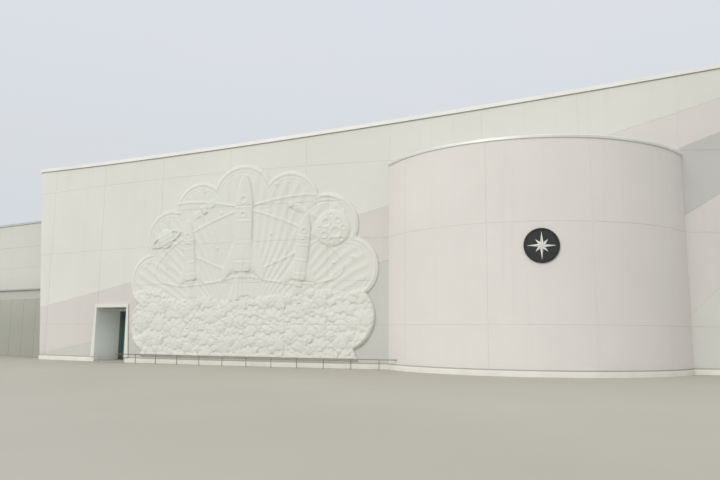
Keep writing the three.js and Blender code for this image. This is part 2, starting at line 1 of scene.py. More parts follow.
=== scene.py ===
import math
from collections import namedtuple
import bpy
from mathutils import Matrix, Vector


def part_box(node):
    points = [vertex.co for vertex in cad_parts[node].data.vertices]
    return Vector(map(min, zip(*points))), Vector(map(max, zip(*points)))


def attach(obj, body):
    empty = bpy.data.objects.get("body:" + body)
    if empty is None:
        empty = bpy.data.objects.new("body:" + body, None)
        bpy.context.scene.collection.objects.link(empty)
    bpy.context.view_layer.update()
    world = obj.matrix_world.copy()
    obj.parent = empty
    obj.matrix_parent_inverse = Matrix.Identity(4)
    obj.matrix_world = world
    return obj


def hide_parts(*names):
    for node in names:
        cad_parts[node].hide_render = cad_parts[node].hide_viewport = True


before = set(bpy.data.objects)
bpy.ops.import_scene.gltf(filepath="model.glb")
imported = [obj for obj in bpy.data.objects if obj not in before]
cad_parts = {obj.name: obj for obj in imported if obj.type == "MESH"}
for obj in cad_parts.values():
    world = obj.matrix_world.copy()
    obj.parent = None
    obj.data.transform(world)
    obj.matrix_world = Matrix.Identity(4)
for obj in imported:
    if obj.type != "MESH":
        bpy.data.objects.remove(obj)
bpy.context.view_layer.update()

# Looks for the exhibition hall model: grooved and painted walls, a bowed drum bay, metal edges, a plaster
# relief, a recessed entry with glazed doors, a low rail, a low wing and a membrane roof.
# Sizes are metres of the real building, measured from the centre of the front wall's arc. REAL and ARC take
# them into the frame. A wall is drawn flat, as (along, depth, up), and then placed round its arc or line.

from types import SimpleNamespace as Sizes

import bmesh
import bpy
import numpy as np
from mathutils import Matrix, Vector

# Driving sizes
REAL = 0.5  # frame metres for one metre of the real building
SIDE_X = 20.0
REAR_Y = -55.9
ARC = Vector((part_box("side_wall_right")[1].x - SIDE_X * REAL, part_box("rear_wall")[1].y - REAR_Y * REAL, 0))
WALL_THICKNESS = 0.3
BAY_ANGLE = 3.2
# the bays right of the middle are wider, which the bays up to the end make up for
WIDE_BAYS = Sizes(count=3, extra=0.033, end=5)
WALL_TOP = Sizes(middle=11.09, rise=6.38, back=34.0)
WALL_END = Sizes(bottom=16.35, top=17.15)
PLINTH_TOP = 0.25
PLINTH_PROUD = 0.03
JOINT_HEIGHTS = (1.93, 5.85, 9.39)
DRUM_TOP = 9.15
DRUM_BOTTOM_OF_ROOF = 8.7
DRUM_MEETS_WALL = 60.06
DRUM_JOINTS = (-48, -16, 16, 48)
DRUM_THICKNESS = 0.25
SIDE_THICKNESS = 0.25
ROOF = Sizes(middle=10.5, slope=0.055, parapet=0.6)
ENTRY = Sizes(angle=-11.97, width=2.12, height=2.8, depth=1.6)
ENTRY_DOOR = Sizes(width=1.96, height=2.57)
REAR_DOOR = Sizes(x=8.0, width=1.1, height=2.2)
SURROUND = Sizes(proud=0.06, head=0.18, foot=0.26, top=0.1)
FLOOR_HEIGHT = 0.05
SEAT = 0.0006  # gap between two pieces that touch


def polar(reach, degrees):
    """The x and y at this reach from the centre of the front wall's arc, turned from the middle."""
    turn = math.radians(degrees)
    return reach * math.sin(turn), -reach * math.cos(turn)


Arc = namedtuple("Arc", "x y radius turn")
WALL = Arc(0.0, 0.0, 73.2, 0.0)
DRUM_PLACE = Sizes(reach=69.33, turn=4.85)
DRUM = Arc(*polar(DRUM_PLACE.reach, DRUM_PLACE.turn), 7.218, math.radians(DRUM_PLACE.turn))
WALL_STEP = math.radians(0.4) * WALL.radius
DRUM_STEP = math.radians(2) * DRUM.radius
FLAT_STEP = 1000.0
FLOOR_RADIUS = 180.0
CUT_SLACK = 1e-5

Groove = namedtuple("Groove", "half slope depth")
JOINT = Groove(half=0.007, slope=0.006, depth=0.011)
WIDE_JOINT = Groove(half=0.012, slope=0.008, depth=0.014)


def along_wall(degrees):
    return math.radians(degrees) * WALL.radius


def along_drum(degrees):
    return math.radians(degrees) * DRUM.radius


def joint(bays):
    """Place along the front wall of an upright joint, counted in bays from the middle."""
    count, extra, end = WIDE_BAYS.count, WIDE_BAYS.extra, WIDE_BAYS.end
    falling = count * extra * (end - bays) / (end - count)
    return along_wall(bays * BAY_ANGLE + max(min(bays * extra, falling), 0))


def wall_top(along):
    angle = along / WALL.radius
    return WALL_TOP.middle + WALL_TOP.rise * math.sin(angle) + WALL_TOP.back * (1 - math.cos(angle))


def roof_height(x):
    return ROOF.middle + ROOF.slope * x


# Placing a flat drawing
def round_arc(arc):
    def place(along, depth, up):
        angle = arc.turn + along / arc.radius
        reach = arc.radius - depth
        return Vector((arc.x + reach * math.sin(angle), arc.y - reach * math.cos(angle), up))

    return place


def straight(x, y, turn):
    """Along a line from x, y whose outside faces minus Y turned by some degrees about Z."""
    c, s = math.cos(math.radians(turn)), math.sin(math.radians(turn))

    def place(along, depth, up):
        return Vector((x + along * c - depth * s, y + along * s + depth * c, up))

    return place


ON_WALL = round_arc(WALL)
ON_DRUM = round_arc(DRUM)


# Materials
def srgb(red, green, blue):
    def linear(value):
        value /= 255
        return value / 12.92 if value <= 0.04045 else ((value + 0.055) / 1.055) ** 2.4

    return (linear(red), linear(green), linear(blue), 1.0)


class Graph:
    """The nodes of a material or a world, added one call at a time."""

    def __init__(self, owner, coordinates="Object"):
        owner.use_nodes = True
        self.owner = owner
        self.nodes, self.links = owner.node_tree.nodes, owner.node_tree.links
        self.place = self.add("ShaderNodeTexCoord").outputs[coordinates]

    def put(self, socket, value):
        if isinstance(value, bpy.types.NodeSocket):
            self.links.new(value, socket)
        else:
            socket.default_value = value

    def add(self, kind, inputs=None, **settings):
        node = self.nodes.new(kind)
        for key, value in settings.items():
            setattr(node, key, value)
        for key, value in (inputs or {}).items():
            self.put(node.inputs[key], value)
        return node

    def times(self, first, second):
        return self.add("ShaderNodeVectorMath", {0: first, 1: second}, operation="MULTIPLY").outputs[0]

    def level(self, vector):
        return self.add("ShaderNodeSeparateXYZ", {"Vector": vector}).outputs["Z"]

    def noise(self, scale, detail=3.0, rough=0.55, stretch=(1, 1, 1)):
        place = self.times(self.place, stretch)
        inputs = {"Vector": place, "Scale": scale, "Detail": detail, "Roughness": rough}
        return self.add("ShaderNodeTexNoise", inputs).outputs["Fac"]

    def remap(self, value, low=0.3, high=0.7, to_low=0.0, to_high=1.0):
        inputs = {"Value": value, "From Min": low, "From Max": high, "To Min": to_low, "To Max": to_high}
        return self.add("ShaderNodeMapRange", inputs, clamp=True).outputs["Result"]

    def maths(self, operation, first, second):
        return self.add("ShaderNodeMath", {0: first, 1: second}, operation=operation).outputs[0]

    def mixed(self, share, first, second, blend="MIX"):
        inputs = {0: share, 6: first, 7: second}
        return self.add("ShaderNodeMix", inputs, data_type="RGBA", blend_type=blend).outputs[2]

    def bump(self, height, strength, distance):
        inputs = {"Height": height, "Strength": strength, "Distance": distance}
        self.set(Normal=self.add("ShaderNodeBump", inputs).outputs["Normal"])

    def set(self, shader="Principled BSDF", **values):
        for key, value in values.items():
            self.put(self.nodes[shader].inputs[key.replace("_", " ")], value)


def shade(colour, factor):
    return (*(min(1.0, value * factor) for value in colour[:3]), 1.0)


def material_graph(name):
    return Graph(bpy.data.materials.new(name))


def paint(name, colour, roughness=0.72, grain=0.35, streaks=0.5, fade=None):
    """Sand-finish paint: slow mottling, faint rain streaks and a little dust near the ground.
    A fade gives the tone at two heights, as (low, high, tone at low, tone at high)."""
    g = material_graph(name)
    mottle = g.remap(g.noise(0.5, detail=4.0), 0.35, 0.65)
    tone = g.mixed(mottle, shade(colour, 0.975), shade(colour, 1.02))
    runs = g.noise(5.0, 4.0, 0.6, stretch=(1, 1, 0.045))
    tone = g.mixed(g.remap(runs, 0.56, 0.78, 0.0, 0.10 * streaks), tone, srgb(120, 116, 104))
    height = g.level(g.place)
    if fade:
        level = g.remap(height, *fade)
        grey = g.add("ShaderNodeCombineXYZ", dict.fromkeys("XYZ", level)).outputs["Vector"]
        tone = g.times(tone, grey)
    dust = g.maths("MULTIPLY", g.remap(height, 0.0, 0.30, 1.0, 0.0), g.remap(g.noise(2.5)))
    tone = g.mixed(g.maths("MULTIPLY", dust, 0.16), tone, srgb(150, 142, 126))
    g.set(Base_Color=tone, Roughness=g.remap(g.noise(9.0), to_low=roughness - 0.06, to_high=roughness + 0.06))
    g.bump(g.noise(260.0, detail=2.0), strength=grain, distance=0.0006)
    return g.owner


def sheet_metal(name, colour, metallic, roughness, soil=0.12):
    """Coated or bare sheet metal with slight waves, dull patches and runs of grime."""
    g = material_graph(name)
    tone = g.mixed(g.remap(g.noise(1.6, detail=4.0)), shade(colour, 0.94), shade(colour, 1.04))
    runs = g.remap(g.noise(14.0, 3.0, 0.6, stretch=(1, 1, 0.15)), 0.55, 0.8, 0.0, soil)
    g.set(
        Base_Color=g.mixed(runs, tone, srgb(96, 92, 84)),
        Metallic=metallic,
        Roughness=g.remap(g.noise(6.0), to_low=roughness - 0.05, to_high=roughness + 0.08),
    )
    g.bump(g.noise(3.0, detail=2.0), strength=0.12, distance=0.004)
    return g.owner


def plaster(name, colour):
    """Cast relief plaster: fine pits, soft patches, and dirt that settles on ledges."""
    g = material_graph(name)
    tone = g.mixed(g.remap(g.noise(0.8, detail=4.0)), shade(colour, 0.975), shade(colour, 1.015))
    runs = g.remap(g.noise(7.0, 4.0, 0.6, stretch=(1, 1, 0.08)), 0.58, 0.8, 0.0, 0.07)
    tone = g.mixed(runs, tone, srgb(132, 128, 116))
    upward = g.level(g.add("ShaderNodeNewGeometry").outputs["Normal"])
    ledge = g.maths("MULTIPLY", g.remap(upward, 0.35, 0.8), g.remap(g.noise(30.0), 0.35, 0.65))
    tone = g.mixed(g.maths("MULTIPLY", ledge, 0.25), tone, srgb(150, 146, 134))
    g.set(Base_Color=tone, Roughness=0.8)
    pits = g.maths("ADD", g.noise(60.0, detail=4.0), g.noise(220.0, detail=2.0))
    g.bump(pits, strength=0.35, distance=0.0012)
    return g.owner


def concrete(name, colour):
    """Cement or sheet with soft patches and small dark specks."""
    g = material_graph(name)
    tone = g.mixed(g.remap(g.noise(1.2, detail=5.0)), shade(colour, 0.9), shade(colour, 1.06))
    specks = g.remap(g.noise(90.0, detail=2.0), 0.62, 0.72, 0.0, 0.35)
    g.set(Base_Color=g.mixed(specks, tone, shade(colour, 0.6)), Roughness=0.85)
    g.bump(g.noise(120.0), strength=0.3, distance=0.001)
    return g.owner


def tinted_glass(name, colour):
    """Coloured glass with a thin film of dirt and a slight roll."""
    g = material_graph(name)
    film = g.remap(g.noise(5.0), 0.4, 0.75, 0.0, 0.12)
    g.set(
        Base_Color=g.mixed(film, colour, srgb(120, 132, 124)),
        Roughness=g.remap(g.noise(3.0), to_low=0.03, to_high=0.09),
        IOR=1.5,
        Transmission_Weight=0.25,
    )
    g.bump(g.noise(1.5, detail=1.0), strength=0.05, distance=0.004)
    return g.owner


def brushed_steel(name, colour):
    """Steel with fine brushing round its length."""
    g = material_graph(name)
    brushing = g.noise(40.0, 3.0, 0.6, stretch=(1, 1, 12))
    tone = g.mixed(g.remap(brushing), shade(colour, 0.9), shade(colour, 1.05))
    g.set(Base_Color=tone, Metallic=0.9, Roughness=g.remap(brushing, to_low=0.26, to_high=0.42))
    g.bump(brushing, strength=0.08, distance=0.0005)
    return g.owner


IVORY = paint("paint_ivory", srgb(219, 218, 210))
WARM = paint("paint_warm", srgb(210, 205, 199), fade=(4.5, 5.3, 1.0, 1.07))
COOL = paint("paint_cool", srgb(200, 199, 192))
SAGE = paint("paint_sage", srgb(191, 190, 186))
PALE = paint("paint_pale", srgb(208, 207, 199))
DRUM_PAINT = paint("paint_drum", srgb(221, 216, 210))
TRIM = paint("paint_trim", srgb(236, 235, 226), 0.6, 0.2)
SURROUND_PAINT = paint("paint_surround", srgb(221, 221, 212), 0.6, 0.2, 0.3)
PLINTH_PAINT = paint("paint_plinth", srgb(231, 229, 218), 0.6, 0.2)
REVEAL = paint("paint_reveal", srgb(238, 240, 234), 0.7, 0.3, 0.2)
COPING_METAL = sheet_metal("metal_coping", srgb(234, 232, 225), 0.0, 0.4, 0.08)
ZINC = sheet_metal("metal_zinc", srgb(203, 201, 196), 0.85, 0.42)
BRONZE = sheet_metal("metal_bronze", srgb(54, 57, 56), 0.5, 0.42, 0.05)
DOOR_METAL = sheet_metal("metal_door", srgb(112, 110, 105), 0.4, 0.42, 0.06)
STEEL = brushed_steel("metal_steel", srgb(176, 178, 178))
CAP_METAL = sheet_metal("metal_cap", srgb(226, 225, 220), 0.6, 0.56)
RAIL_STEEL = brushed_steel("metal_rail", srgb(130, 132, 131))
GLASS = tinted_glass("glass_teal", srgb(46, 120, 108))
PLASTER = plaster("plaster_relief", srgb(218, 218, 209))
WING_PAINT = paint("paint_wing", srgb(206, 205, 197), fade=(2.05, 2.5, 0.9, 1.0))
# the band under the wing's ledge is a darker grey, partly its paint and partly painted shade of the ledge; the
# lower cladding's grey is also partly painted shade, and its fade is painted shading that lightens it toward
# the bead
WING_BAND = paint("paint_wing_band", srgb(183, 183, 175))
WING_LOW = paint("paint_wing_low", srgb(162, 162, 151), fade=(1.0, 1.75, 1.0, 1.14))
# the grey for the faces in the shadow gaps under the coping and over the plinths: partly a reveal channel's
# own colour, partly painted shade that deepens their shadow lines
SHADOW = sheet_metal("metal_shadow_channel", srgb(186, 184, 174), 0.0, 0.6)
# the soffit's dark grey is painted shade: the entry's ceiling is darkened as if the recess shaded it
SOFFIT_SHADE = paint("soffit_painted_shade", srgb(150, 151, 143), 0.7, 0.3, 0.2)
RUBBER = sheet_metal("rubber_gasket", srgb(30, 31, 31), 0.0, 0.75)
MEMBRANE = concrete("membrane_roof", srgb(214, 214, 208))
SLAB = concrete("concrete_slab", srgb(170, 165, 156))
SEALANT = paint("sealant_grey", srgb(150, 150, 143), 0.8, 0.1)


# Mesh making
def make(name, bm, materials, nodes=(), body="building", crease=30):
    """Turns a mesh drawn in real metres into a piece that rides on a body and stands for CAD nodes."""
    bmesh.ops.recalc_face_normals(bm, faces=bm.faces)
    for vertex in bm.verts:
        vertex.co = vertex.co * REAL + ARC
    mesh = bpy.data.meshes.new(name)
    bm.to_mesh(mesh)
    bm.free()
    for material in materials:
        mesh.materials.append(material)
    mesh.shade_smooth()
    mesh.set_sharp_from_angle(angle=math.radians(crease))
    piece = bpy.data.objects.new(name, mesh)
    bpy.context.scene.collection.objects.link(piece)
    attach(piece, body)
    if nodes:
        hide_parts(*nodes)


def slice_all(bm, point, normal):
    geometry = bm.verts[:] + bm.edges[:] + bm.faces[:]
    bmesh.ops.bisect_plane(bm, geom=geometry, dist=CUT_SLACK, plane_co=point, plane_no=normal)


def steps_between(low, high, step):
    """The multiples of step between low and high, but none right at either."""
    first, last = math.ceil(low / step + 0.01), math.floor(high / step - 0.01)
    return [i * step for i in range(first, last + 1)]


def open_edges(bm):
    return [edge for edge in bm.edges if edge.is_boundary]


def backed(bm, depth):
    """Gives an open face its sides and a flat back at this depth, and returns the back's faces."""
    for part in bmesh.ops.extrude_edge_only(bm, edges=open_edges(bm))["geom"]:
        if isinstance(part, bmesh.types.BMVert):
            part.co.y = depth
    return bmesh.ops.edgeloop_fill(bm, edges=open_edges(bm))["faces"]


SLIVER = 0.02  # a cell smaller than this in square metres stays flat


def grooved_slab(outline, lines, thickness, step, groove=JOINT, front=0.0, sealant=0):
    """A flat slab whose face has grooves round its edge and along lines ((along, up), (along, up)).
    The outline runs anticlockwise as seen from outside. Its face is at depth front. The floors of the
    grooves between cells take the material numbered sealant."""
    bm = bmesh.new()
    bm.faces.new([bm.verts.new((along, front, up)) for along, up in outline])
    for (a0, u0), (a1, u1) in lines:
        slice_all(bm, (a0, front, u0), (u1 - u0, 0, a0 - a1))
    cells = [face for face in bm.faces if face.calc_area() > SLIVER]
    bmesh.ops.inset_individual(bm, faces=cells, thickness=groove.half, use_even_offset=True)
    floor = set(bm.verts)
    for face in set(bm.faces) - set(cells):
        if not any(edge.is_boundary for edge in face.edges):
            face.material_index = sealant
    bmesh.ops.inset_individual(bm, faces=cells, thickness=groove.slope, use_even_offset=True)
    for vertex in floor:
        vertex.co.y += groove.depth
    backed(bm, front + thickness)
    ends = [along for along, _ in outline]
    for along in steps_between(min(ends), max(ends), step):
        slice_all(bm, (along, 0, 0), (1, 0, 0))
    return bm


def placed(bm, place):
    for vertex in bm.verts:
        vertex.co = place(*vertex.co)
    return bm


def joined(meshes):
    """One mesh from several, which are freed."""
    whole = bmesh.new()
    for bm in meshes:
        mesh = bpy.data.meshes.new("part")
        bm.to_mesh(mesh)
        whole.from_mesh(mesh)
        bm.free()
        bpy.data.meshes.remove(mesh)
    return whole


def coloured(bm, pick):
    """Gives each face but the back the material that pick says for its middle, before the slab is placed."""
    back = max(vertex.co.y for vertex in bm.verts) - 0.001
    for face in bm.faces:
        middle = face.calc_center_median()
        if middle.y < back:
            face.material_index = pick(middle.x, middle.z)


def sweep(profile, stations, dark=()):
    """Skins a closed profile of (out, up) points along stations of (x, y, z, out_x, out_y).
    The profile's sides whose numbers are in dark take the second material."""
    bm = bmesh.new()
    rings = [
        [bm.verts.new((x + out * out_x, y + out * out_y, z + up)) for out, up in profile]
        for x, y, z, out_x, out_y in stations
    ]
    for ring, following in zip(rings, rings[1:]):
        for i, vertex in enumerate(ring):
            j = (i + 1) % len(ring)
            face = bm.faces.new((vertex, ring[j], following[j], following[i]))
            face.material_index = 1 if i in dark else 0
    bm.faces.new(rings[0][::-1])
    bm.faces.new(rings[-1])
    return bm


def arc_stations(arc, left, right, step, up=lambda along: 0.0, radius=None):
    """Stations round an arc from left to right, at its own radius or another."""
    reach = radius or arc.radius
    stations = []
    for along in (left, *steps_between(left, right, step), right):
        angle = arc.turn + along / arc.radius
        out_x, out_y = math.sin(angle), -math.cos(angle)
        stations.append((arc.x + reach * out_x, arc.y + reach * out_y, up(along), out_x, out_y))
    return stations


def mitred_stations(points, up):
    """Stations at the corners of an open path of (x, y) whose outside is on its right, at up(corner)."""
    corners = [Vector(point) for point in points]
    outs = []
    for a, b in zip(corners, corners[1:]):
        way = (b - a).normalized()
        outs.append(Vector((way.y, -way.x)))
    stations = []
    for i, corner in enumerate(corners):
        before, after = outs[max(i - 1, 0)], outs[min(i, len(outs) - 1)]
        mitre = (before + after) / (1 + before.dot(after))
        stations.append((*corner, up(corner), *mitre))
    return stations


# Front wall: bays between the vertical joints, crossed by level joints and by painted slanting bands
# Each slanting line runs from left to right in degrees, at start + rise sin(angle) + back (1 - cos(angle)).
Slant = namedtuple("Slant", "start rise back left right")
UPPER_SLANT = Slant(7.308, 19.752, 28.525, -18, 18)
LOWER_SLANT = Slant(4.838, 21.229, 36.133, -18, 0.2)
RIGHT_SLANTS = (
    Slant(4.955, 23.781, 35.0, 8.9, 18),
    Slant(-0.637, 39.554, 35.0, 9.5, 18),
    Slant(-9.245, 65.552, 35.0, 9.5, 18),
)
WALL_PAINTS = (IVORY, WARM, COOL, SAGE, PALE)


def slant_height(slant, along):
    angle = along / WALL.radius
    return slant.start + slant.rise * math.sin(angle) + slant.back * (1 - math.cos(angle))


def wall_paint(along, up):
    """Which of WALL_PAINTS a place on the front wall has."""
    if up > slant_height(UPPER_SLANT, along):
        return 0
    if along < along_wall(RIGHT_SLANTS[0].left):
        return 1 if up > slant_height(LOWER_SLANT, along) else 2
    below = sum(up < slant_height(slant, along) for slant in RIGHT_SLANTS)
    return (1, 3, 1, 4)[below]


SLANT_SLACK = 0.3  # how far a bay may reach past a slanting line's right end and still have its joint


def level_lines(ups, left, right):
    """Joint lines from left to right at these heights."""
    return [((left, up), (right, up)) for up in ups]


def upright_lines(alongs, top):
    """Joint lines from the ground to top at these places."""
    return [((along, 0), (along, top)) for along in alongs]


def wall_lines(left, right):
    lines = level_lines(JOINT_HEIGHTS, left, right)
    for slant in (UPPER_SLANT, LOWER_SLANT, *RIGHT_SLANTS):
        if along_wall(slant.left) <= left and right <= along_wall(slant.right) + SLANT_SLACK:
            lines.append(((left, slant_height(slant, left)), (right, slant_height(slant, right))))
    return lines


def wall_bay(name, left, right, bottom, foot=None, opening=None):
    """A bay from left to right, with a raked foot at one end or an opening at its lower left corner."""
    tops = [right, *reversed(steps_between(left, right, WALL_STEP)), left]
    feet = foot or (left, right)
    outline = [(feet[0], bottom), (feet[1], bottom), *((along, wall_top(along)) for along in tops)]
    if opening:
        outline[0] = (opening, bottom)
        outline += [(left, ENTRY.height), (opening, ENTRY.height)]
    bm = grooved_slab(outline, wall_lines(left, right), WALL_THICKNESS, WALL_STEP)
    coloured(bm, wall_paint)
    make(f"{name}_panels", placed(bm, ON_WALL), WALL_PAINTS, [name])


OPENING = along_wall(ENTRY.angle) + ENTRY.width / 2
END_TOP, END_FOOT = along_wall(WALL_END.top), along_wall(WALL_END.bottom)
DRUM_END = along_drum(DRUM_MEETS_WALL)
# the front wall's bays from its left end to its right end, each between two upright joints
WALL_BAYS = (
    "wall_bay_1", "wall_bay_entry", "wall_bay_2", "wall_bay_3", "wall_bay_4", "wall_over_drum_1",
    "wall_over_drum_2", "wall_over_drum_3", "wall_bay_5", "wall_bay_6",
)


def front_wall():
    first, last = joint(-WIDE_BAYS.end), joint(WIDE_BAYS.end)
    for i, name in enumerate(WALL_BAYS):
        left, right = (joint(i + side - WIDE_BAYS.end) for side in (0, 1))
        bottom = DRUM_BOTTOM_OF_ROOF if "over_drum" in name else PLINTH_TOP
        wall_bay(name, left, right, bottom, opening=OPENING if "entry" in name else None)
    wall_bay("wall_end_left", -END_TOP, first, PLINTH_TOP, foot=(-END_FOOT, first))
    wall_bay("wall_end_right", last, END_TOP, PLINTH_TOP, foot=(last, END_FOOT))


# Metal coping: a fascia with a kicked-out drip edge, a low standing top and cover plates at its joints
COPING_PROFILE = (
    (-0.35, 0.002), (-0.35, 0.19), (-0.33, 0.2), (0.03, 0.22), (0.05, 0.21), (0.05, 0.04), (0.0, 0.04),
)
COPING_INSIDE = ((0.0, 0.0), (-0.3, 0.0), (-0.344, 0.0))
# the faces under the drip, which take the shadow-gap grey as painted shade
COPING_DARK = (5, 6)
COPING_END = along_wall(WALL_END.top + 0.03)
COPING_GAP = 0.003
COVER = Sizes(step=3.0, half=0.06, proud=0.004, end=1.0)


def coping():
    ends = [-COPING_END, joint(-3), 0, joint(3), COPING_END]
    for i, (left, right) in enumerate(zip(ends, ends[1:])):
        stations = arc_stations(WALL, left + COPING_GAP, right - COPING_GAP, WALL_STEP, wall_top)
        node = f"coping_{i + 1}"
        bm = sweep(COPING_PROFILE + COPING_INSIDE, stations, dark=COPING_DARK)
        make(f"{node}_metal", bm, [COPING_METAL, SHADOW], [node])
    under, proud = COPING_PROFILE[1:6], COVER.proud
    over = [(out + (proud if out > 0 else -proud), up + proud) for out, up in under]
    covers = []
    along = COVER.step - COPING_END
    while along < COPING_END - COVER.end:
        stations = arc_stations(WALL, along - COVER.half, along + COVER.half, WALL_STEP, wall_top)
        covers.append(sweep((*over, *under[::-1]), stations))
        along += COVER.step
    make("coping_covers", joined(covers), [COPING_METAL])


# Plinths: a board with a bevelled top edge under a dark shadow gap whose faces take a grey of painted shade
PLINTH_PROFILE = (
    (-0.3, 0.0), (PLINTH_PROUD, 0.0), (PLINTH_PROUD, 0.198), (PLINTH_PROUD - 0.012, 0.21), (-0.02, 0.21),
    (-0.02, 0.249), (-0.3, 0.249),
)
# the top and back of the gap, which take the shadow-gap grey as painted shade
PLINTH_DARK = (3, 4)
PLINTH_GAP = 0.025  # between a board's end and the entry's casing


def plinths():
    # node, left, right
    runs = (
        ("plinth_left", -END_FOOT, joint(-4) - PLINTH_GAP),
        ("plinth_middle", OPENING + PLINTH_GAP, 0.0),
        ("plinth_right", joint(3), END_FOOT),
    )
    for node, left, right in runs:
        bm = sweep(PLINTH_PROFILE, arc_stations(WALL, left, right, WALL_STEP), dark=PLINTH_DARK)
        make(f"{node}_board", bm, [PLINTH_PAINT, SHADOW], [node])
    profile = [(max(out, -DRUM_THICKNESS), up) for out, up in PLINTH_PROFILE]
    bm = sweep(profile, arc_stations(DRUM, -DRUM_END, DRUM_END, DRUM_STEP), dark=PLINTH_DARK)
    make("plinth_drum_board", bm, [PLINTH_PAINT, SHADOW], ["plinth_drum"])


# Drum bay: five curved panels and a metal cap
CAP_PROFILE = (
    (-0.3, 0.0), (-0.3, 0.1), (-0.28, 0.12), (0.0, 0.108), (0.024, 0.096), (0.036, 0.078), (0.036, -0.012),
    (0.03, -0.022), (0.004, -0.022), (0.004, 0.0),
)
PANEL_GAP = 0.002  # between a panel and the cap


def drum():
    joints = [-DRUM_END, *map(along_drum, DRUM_JOINTS), DRUM_END]
    top = DRUM_TOP - PANEL_GAP
    for i, (left, right) in enumerate(zip(joints, joints[1:])):
        outline = [(left, PLINTH_TOP), (right, PLINTH_TOP), (right, top), (left, top)]
        lines = level_lines(JOINT_HEIGHTS[:2], left, right)
        bm = grooved_slab(outline, lines, DRUM_THICKNESS, DRUM_STEP)
        node = f"drum_panel_{i + 1}"
        make(f"{node}_skin", placed(bm, ON_DRUM), [DRUM_PAINT], [node])
    stations = arc_stations(DRUM, -DRUM_END, DRUM_END, DRUM_STEP, lambda along: DRUM_TOP)
    make("drum_cap_metal", sweep(CAP_PROFILE, stations), [CAP_METAL], ["drum_cap"])


# Solid helpers, drawn as (along, depth, up) like the slabs
def bevelled_slab(outline, front, back, bevel):
    """A slab with this outline, its face at depth front with a bevelled edge."""
    bm = bmesh.new()
    face = bm.faces.new([bm.verts.new((along, front, up)) for along, up in outline])
    edge = list(face.verts)
    bmesh.ops.inset_individual(bm, faces=[face], thickness=bevel, use_even_offset=True)
    for vertex in edge:
        vertex.co.y = front + bevel
    backed(bm, back)
    return bm


def box(alongs, depths, ups, bevel=0.0, material=0):
    """A box between two places each way, in either order."""
    bm = bmesh.new()
    size = [abs(high - low) for low, high in (alongs, depths, ups)]
    middle = [(low + high) / 2 for low, high in (alongs, depths, ups)]
    bmesh.ops.create_cube(bm, size=1, matrix=Matrix.Translation(middle) @ Matrix.Diagonal((*size, 1)))
    if bevel:
        bmesh.ops.bevel(bm, geom=bm.edges[:], offset=bevel, segments=2, profile=0.5, affect="EDGES")
    for face in bm.faces:
        face.material_index = material
    return bm


def either(place):
    """A place and its mirror image."""
    return [side * place for side in (-1, 1)]


def rod(start, end, radius, sides=14, material=0, tip=None):
    """A round rod from start to end, tapering to tip if that is given."""
    bm = bmesh.new()
    start, end = Vector(start), Vector(end)
    turn = (end - start).to_track_quat("Z", "Y").to_matrix().to_4x4()
    bmesh.ops.create_cone(
        bm, cap_ends=True, segments=sides, radius1=radius, radius2=radius if tip is None else tip,
        depth=(end - start).length, matrix=Matrix.Translation((start + end) / 2) @ turn,
    )
    for face in bm.faces:
        face.material_index = material
    return bm


# Relief: clouds, plain rockets, a moon and a ringed planet, as the height of its face over (along, up)
Lobe = namedtuple("Lobe", "along up radius")
RELIEF_LOBES = (
    Lobe(1.75, 1.9, 1.5),
    Lobe(1.55, 4.1, 1.45),
    Lobe(2.55, 6.2, 1.5),
    Lobe(4.3, 7.5, 1.5),
    Lobe(6.7, 8.0, 1.7),
    Lobe(9.2, 7.7, 1.5),
    Lobe(11.1, 6.5, 1.55),
    Lobe(12.1, 4.5, 1.5),
    Lobe(11.85, 2.3, 1.6),
)
# angle is where the left end is, cell the mesh's step, ground the backdrop's height, thinned how much lower
# the face is at the foot
RELIEF = Sizes(angle=-11.05, width=13.6, bottom=0.34, top=9.75, cell=0.037, ground=0.075, thinned=0.035)
RELIEF_FOOT = (0.9, 12.7)
RELIEF_MIDDLE = 6.85
CAST_JOINTS = Sizes(ups=(1.93, 3.89, 5.85, 7.62), alongs=(2.47, 4.52, 9.15, 11.2), half=0.012, depth=0.012)

Rocket = namedtuple("Rocket", "along up length half lean lift")
ROCKETS = (
    Rocket(3.95, 4.05, 3.05, 0.34, 6.0, 0.085),
    Rocket(9.8, 3.95, 3.15, 0.35, -6.0, 0.085),
    Rocket(RELIEF_MIDDLE, 4.4, 4.75, 0.5, 0.0, 0.10),
)
ROCKET_SHOULDER = 0.66
ROCKET_BANDS = (0.1, 0.3, 0.52, 0.66)
# place along the rocket, radius as a share of its half width
ROCKET_PORTS = ((0.74, 0.34), (0.59, 0.24))
PLUME = Sizes(throat=0.42, spread=0.95, flutes=15, rise=0.04, flute=0.03)
NOZZLE = Sizes(throat=0.42, flare=0.26, length=0.3, rise=0.06, rings=60)
FIN = Sizes(top=0.38, reach=1.35, sweep=0.09, rise=0.03, rim=0.16)
BLADE = Sizes(top=0.32, half=0.055, rise=0.125)

Disc = namedtuple("Disc", "along up radius")
MOON = Disc(11.42, 6.35, 0.86)
PLANET = Disc(2.3, 6.2, 0.5)
PLANET_RING = Sizes(
    reach=0.86, flatness=0.32, lean=22.0, half=0.13, rise=0.06, rim=0.012, groove=0.014, groove_half=0.035,
)
